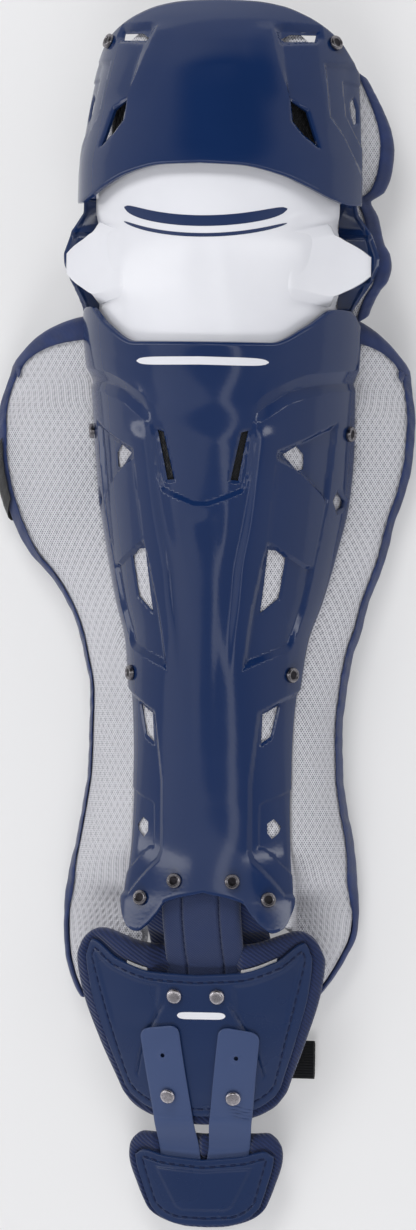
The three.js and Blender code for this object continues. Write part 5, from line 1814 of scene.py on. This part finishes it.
# Straps across the back
def ribbon(name, path, width, thickness, material, nodes, slot, cell=0.0025):
    """Strap along a path of middle points, with an edge on each side that may differ in place."""
    left, right = path
    steps = np.concatenate([[0], np.cumsum(np.linalg.norm(np.diff((left + right) / 2, axis=0), axis=-1))])
    rows = spread(0, steps[-1], cell)
    piece, u, v = grid_piece(name, np.linspace(0, 1, 13), rows)

    def along_line(line):
        return np.stack([np.interp(v, steps, line[:, i]) for i in range(3)], axis=-1)

    a = along_line(left)
    b = along_line(right)
    middle = mix(a, b, u[:, None])
    ahead = np.stack([np.interp(v + cell, steps, (left + right)[:, i] / 2) for i in range(3)], axis=-1)
    behind = np.stack([np.interp(v - cell, steps, (left + right)[:, i] / 2) for i in range(3)], axis=-1)
    normal = unit(np.cross(ahead - behind, b - a))
    edge = np.minimum(u, 1 - u) * width
    put(piece, middle - normal * (0.3 * thickness * (1 - ramp(edge, 0, 0.0012)))[:, None])
    wall(piece, middle - normal * (thickness * (1 - 0.3 * (1 - ramp(edge, 0, 0.0012))))[:, None])
    set_map(piece, np.tile(u * width, 2), np.tile(v, 2))
    shade(piece, 60)
    return finish(piece, material, *nodes, slot=slot)


def rounded(points, count=90):
    """Path through corners, softened, with evenly spaced points."""
    points = np.asarray(points, float)
    for _ in range(3):
        cut_low = points[:-1] * 0.75 + points[1:] * 0.25
        cut_high = points[:-1] * 0.25 + points[1:] * 0.75
        middle = np.stack([cut_low, cut_high], axis=1).reshape(-1, 3)
        points = np.concatenate([points[:1], middle, points[-1:]])
    steps = np.concatenate([[0], np.cumsum(np.linalg.norm(np.diff(points, axis=0), axis=-1))])
    places = np.linspace(0, steps[-1], count)
    return np.stack([np.interp(places, steps, points[:, i]) for i in range(3)], axis=-1)


def back_strap(name, rim, y_at, y, landing, node):
    """Elastic strap: sewn behind each wing and flat on the floor between them."""
    back = rim[1]

    def edge(offset):
        def hug(s):
            s = np.array([s])
            low = y_at(s, 0)
            high = y_at(s, 1)
            v = (y + offset - low) / (high - low)
            point = back(s, v)
            run = back(s - np.sign(s) * 0.02, v) - point
            run[:, 1] = 0
            run = unit(run)
            down = np.stack([run[:, 2], 0 * s, -run[:, 0]], axis=-1) * (1 if s[0] < 0 else -1)
            return (point + down * 2 * CLEARANCE)[0]

        left = [hug(-place) for place in (0.88, 0.8)]
        right = [hug(place) for place in (0.8, 0.88)]
        start = np.array([left[-1][0] + landing, left[-1][1], STRAP_THICKNESS])
        end = np.array([right[0][0] - landing, right[0][1], STRAP_THICKNESS])
        floor = [mix(start, end, share) for share in np.linspace(0, 1, 5)]
        return rounded([*left, *floor, *right])

    path = (edge(-STRAP_WIDTH / 2), edge(STRAP_WIDTH / 2))
    return ribbon(name, path, STRAP_WIDTH, STRAP_THICKNESS, black_web, [node], "back_straps")


# Turns of the ankle strap: a share of the guard's width across, and a height in metres
ANKLE_STRAP_TURNS = table("across height", [
    [-0.225, HEIGHT * 0.12],
    [-0.205, HEIGHT * 0.04],
    [-0.165, STRAP_THICKNESS],
    [-0.080, STRAP_THICKNESS],
    [0.080, STRAP_THICKNESS],
    [0.230, STRAP_THICKNESS],
    [0.280, STRAP_THICKNESS * 2],
    [0.315, STRAP_THICKNESS * 3.6],
])


def ankle_strap():
    y = ANKLE_START + ANKLE_LENGTH * 0.33
    width = STRAP_WIDTH * 0.6

    def edge(offset):
        share = (y + offset - ANKLE_START) / ANKLE_LENGTH
        sewn = point_on(ankle, -0.6, share, UNDER_SHELL - PAD_UNDER_SHELL - 9 * CLEARANCE)
        sewn[1] = y + offset
        turns = zip(ANKLE_STRAP_TURNS["across"], ANKLE_STRAP_TURNS["height"])
        return rounded([sewn, *[(across * GUARD_WIDTH, y + offset, height) for across, height in turns]])

    path = (edge(-width / 2), edge(width / 2))
    return ribbon(
        "elastic_ankle_strap", path, width, STRAP_THICKNESS, black_web, ["strap_ankle"], "back_straps",
    )


def back_straps():
    for label, along in (("upper", 0.775), ("middle", 0.470), ("lower", 0.200)):
        y = SHIN_START + SHIN_LENGTH * along
        back_strap(f"elastic_calf_strap_{label}", shin_pad_rim, shin_y_at, y, 0.008, f"strap_calf_{label}")
    y = KNEE_PAD_START + KNEE_PAD_LENGTH * 0.59
    back_strap("elastic_knee_strap", knee_pad_rim, knee_y_at, y, 0.012, "strap_knee")
    ankle_strap()


# Stitches: one dash, copied along a line
def stitches(name, places, runs, normals, length, radius, material):
    """Short thread dashes as one mesh."""
    deselect()
    bpy.ops.mesh.primitive_cylinder_add(vertices=6, radius=radius, depth=length)
    model = bpy.context.object
    edit_all(model, lambda: bpy.ops.mesh.bevel(offset=radius * 0.5, segments=1))
    shape = points_of(model)
    faces = [list(face.vertices) for face in model.data.polygons]
    bpy.data.objects.remove(model)
    points = []
    polygons = []
    for place, run, normal in zip(places, runs, normals):
        side = np.cross(run, normal)
        base = len(points) * len(shape)
        points.append(place + shape[:, :1] * side + shape[:, 1:2] * normal + shape[:, 2:] * run)
        polygons += [[base + i for i in face] for face in faces]
    data = bpy.data.meshes.new(name)
    data.from_pydata(np.concatenate(points).tolist(), [], polygons)
    piece = bpy.data.objects.new(name, data)
    bpy.context.scene.collection.objects.link(piece)
    set_map(piece, *np.concatenate(points).T[:2])
    edit_all(piece, face_outwards)
    shade(piece, 60)
    return finish(piece, material, slot="lining")


def plate_stitches(name, f, bottom, top, reach):
    """Dashes that follow the outline of a plate, a little inside its edge."""
    flat = plate_outline(f, bottom, top, reach)
    loop = moved_in(flat, STITCH_INSET)
    loop = loop[np.abs(depth_inside(loop, flat) - STITCH_INSET) < STITCH_INSET * 0.12]
    closed = np.concatenate([loop, loop[:1]])
    steps = np.concatenate([[0], np.cumsum(np.linalg.norm(np.diff(closed, axis=0), axis=-1))])
    at = np.linspace(0, steps[-1], int(steps[-1] / 0.0056), endpoint=False)

    def bent(places):
        x = np.interp(places % steps[-1], steps, closed[:, 0])
        along = np.interp(places % steps[-1], steps, closed[:, 1]) / f["length"]
        across = x / arc_length(f, along)
        return point_on(f, across, along, -0.0003), outward(f, across, along)

    points, normals = bent(at)
    ahead = bent(at + 0.001)[0]
    behind = bent(at - 0.001)[0]
    return stitches(name, points, unit(ahead - behind), normals, 0.0036, 0.00055, navy_thread)


def tongue_stitches():
    places = []
    for seam in TONGUE_SEAMS:
        for v in np.arange(0.03, 0.97, 0.0042 / (TONGUE_END - TONGUE_START)):
            places.append((seam, v))
    u, v = np.array(places).T
    lift = -0.0012
    run = unit(on_tongue(u, v + 0.01, lift) - on_tongue(u, v - 0.01, lift))
    normals = unit(np.cross(np.array([1.0, 0, 0]), run))
    points = on_tongue(u, v, lift)
    return stitches("tongue_stitches", points, run, normals, 0.0026, 0.00032, navy_thread)


# Plain trim in the places of the marks
def trim_strip(name, f, shares, half, lift, material, slot):
    """Thin film along a line of shares across and along, with a width that may taper."""
    across, along = np.array(shares).T
    places = np.linspace(0, 1, len(across))
    piece, u, v = grid_piece(name, np.linspace(-1, 1, 9), np.linspace(0, 1, 121))
    line_across = np.interp(v, places, across)
    line_along = np.interp(v, places, along)
    width = np.interp(v, places, half)
    points_along = line_along + u * width / f["length"]
    put(piece, point_on(f, line_across, points_along, lift))
    wall(piece, point_on(f, line_across, points_along, lift - FILM_THICKNESS))
    set_map(piece, np.tile(u, 2) * 0.003, np.tile(v, 2) * 0.06)
    face_up(piece)
    shade(piece, 60)
    return finish(piece, material, slot=slot)


TRIM_POINTS = 41
TRIM_LIFT = 0.0001
STRIPE_REACH = 0.52


def stripe(middle, end):
    """Shallow arc of shares across and along the knee cap."""
    across = np.linspace(-STRIPE_REACH, STRIPE_REACH, TRIM_POINTS)
    return [(a, mix(middle, end, (a / STRIPE_REACH) ** 2)) for a in across]


def trims():
    taper = np.sqrt(np.clip(1 - np.linspace(-1, 1, TRIM_POINTS) ** 8, 0.02, 1))
    wide = stripe(0.640, 0.700)
    thin = stripe(0.575, 0.635)
    bar = [(a, 0.915 - 0.004 * abs(a)) for a in np.linspace(-0.36, 0.36, TRIM_POINTS)]
    plate_bar = [(a, 0.555) for a in np.linspace(-0.15, 0.23, TRIM_POINTS)]
    trim_strip("knee_stripe_wide", knee, wide, 0.0032 * taper, TRIM_LIFT, navy_trim, "shell")
    trim_strip("knee_stripe_thin", knee, thin, 0.0011 * taper, TRIM_LIFT, navy_trim, "shell")
    trim_strip("collar_bar", shin, bar, 0.0024 * taper, TRIM_LIFT, white_trim, "knee_cap")
    trim_strip("ankle_bar", ankle, plate_bar, 0.0021 * taper, TRIM_LIFT, white_trim, "knee_cap")


# Studio
FLOOR_GLOW = 0.27


def studio():
    deselect()
    bpy.ops.mesh.primitive_plane_add(size=8, location=(0, 0, -0.0002))
    floor = bpy.context.object
    floor.name = "studio_floor"
    n = Nodes("pale_floor")
    cloud = n.noise(n.object_place(), 3, 2)
    n.set(Base_Color=n.blend(cloud, linear(FLOOR_GREY), linear(FLOOR_PALE)), Roughness=0.9)
    n.shader.inputs["Emission Color"].default_value = (1, 1, 1, 1)
    n.shader.inputs["Emission Strength"].default_value = FLOOR_GLOW
    floor.data.materials.append(n.material)

    pale_room()
    softbox("head_softbox", place=(-0.3, 2.0, 1.7), size=(1.8, 0.9), power=34, mirrored=False)
    softbox("foot_softbox", place=(0.1, -2.1, 1.6), size=(1.8, 0.8), power=24, mirrored=False)
    softbox("left_strip", place=(-1.5, 0.0, 1.15), size=(0.24, 2.6), power=4.2, mirrored=True)
    softbox("right_strip", place=(1.35, 0.1, 1.4), size=(0.14, 2.4), power=3.2, mirrored=True)
    softbox("crest_strip", place=(0.20, -0.2, 2.1), size=(0.22, 2.0), power=1.3, mirrored=True)
    softbox("sheen_panel", place=(-0.66, -0.2, 2.0), size=(0.70, 3.2), power=2.6, mirrored=True)


ROOM_LEVELS = table("height level", [
    [0.00, 0.62], [0.45, 0.52], [0.72, 0.38], [0.90, 0.25], [1.00, 0.25],
])
ROOM_BLUE = 1.05
DARK_SIDE = Vector((0.05, 0.62, 0.78)).normalized()
DARK_EDGE = math.radians(42)
DARK_CORE = math.radians(20)


def pale_room():
    """Room that is pale near the floor, grey overhead and dark in a patch above the knee end."""
    world = bpy.data.worlds.new("pale_room")
    bpy.context.scene.world = world
    world.use_nodes = True
    tree = world.node_tree
    place = tree.nodes.new("ShaderNodeTexCoord")
    split = tree.nodes.new("ShaderNodeSeparateXYZ")
    tree.links.new(place.outputs["Generated"], split.inputs["Vector"])
    levels = tree.nodes.new("ShaderNodeValToRGB")
    tree.links.new(split.outputs["Z"], levels.inputs["Fac"])
    stops = levels.color_ramp.elements
    rows = list(zip(ROOM_LEVELS["height"], ROOM_LEVELS["level"]))
    stops[0].position = rows[0][0]
    stops[1].position = rows[-1][0]
    for height, _ in rows[1:-1]:
        stops.new(height)
    for stop, (_, level) in zip(stops, rows):
        stop.color = (level, level, level * ROOM_BLUE, 1)
    toward = tree.nodes.new("ShaderNodeVectorMath")
    toward.operation = "DOT_PRODUCT"
    tree.links.new(place.outputs["Generated"], toward.inputs[0])
    toward.inputs[1].default_value = DARK_SIDE
    patch = tree.nodes.new("ShaderNodeMapRange")
    patch.interpolation_type = "SMOOTHSTEP"
    patch.inputs["From Min"].default_value = math.cos(DARK_EDGE)
    patch.inputs["From Max"].default_value = math.cos(DARK_CORE)
    patch.inputs["To Min"].default_value = 1.0
    patch.inputs["To Max"].default_value = 0.04
    tree.links.new(toward.outputs["Value"], patch.inputs["Value"])
    background = tree.nodes["Background"]
    tree.links.new(levels.outputs["Color"], background.inputs["Color"])
    tree.links.new(patch.outputs["Result"], background.inputs["Strength"])


def softbox(name, place, size, power, mirrored):
    """Soft oval light aimed at the part, which the glossy shells mirror or not."""
    data = bpy.data.lights.new(name, "AREA")
    data.shape = "ELLIPSE"
    data.size, data.size_y = size
    data.energy = power
    light = bpy.data.objects.new(name, data)
    bpy.context.scene.collection.objects.link(light)
    light.visible_glossy = mirrored
    light.location = place
    light.rotation_euler = (-Vector(place)).to_track_quat("-Z", "Y").to_euler()


VIEW_TILT = math.radians(12)
VIEW_ROLL = math.radians(0.9)
VIEW_HEIGHT = 0.739
VIEW_DISTANCE = 10.0
VIEW_CENTRE = Vector((0.0024, -0.0002, 0.0))
SENSOR_HEIGHT = 36
FARTHEST = 60


def camera():
    data = bpy.data.cameras.new("studio_camera")
    data.sensor_fit = "VERTICAL"
    data.sensor_height = SENSOR_HEIGHT
    data.lens = SENSOR_HEIGHT * VIEW_DISTANCE / VIEW_HEIGHT
    data.clip_end = FARTHEST
    item = bpy.data.objects.new("studio_camera", data)
    bpy.context.scene.collection.objects.link(item)
    away = Vector((math.sin(VIEW_TILT), 0, math.cos(VIEW_TILT)))
    up = Vector((0, 1, 0))
    right = up.cross(away).normalized()
    turn = Matrix.Rotation(VIEW_ROLL, 3, away)
    right = turn @ right
    up = turn @ up
    axes = Matrix((right, up, away)).transposed().to_4x4()
    item.matrix_world = Matrix.Translation(VIEW_CENTRE + away * VIEW_DISTANCE) @ axes
    bpy.context.scene.camera = item
    bpy.context.scene.view_settings.view_transform = "Standard"


camera()
studio()
shin_shell()
thigh_cap()
knee_cap()
side_link(-1, "left")
side_link(1, "right")
shin_pad()
knee_pad()
tapes()
ankle_pad()
toe_pad()
ankle_plate()
toe_plate()
backing_slivers()
tongue()
ankle_liner()
toe_strap(-1, "left")
toe_strap(1, "right")
rivets()
back_straps()
plate_stitches("ankle_plate_stitches", ankle, ANKLE_PLATE_BOTTOM, ANKLE_PLATE_TOP, ANKLE_PLATE_REACH)
plate_stitches("toe_plate_stitches", toe, TOE_PLATE_BOTTOM, TOE_PLATE_TOP, TOE_PLATE_REACH)
tongue_stitches()
trims()
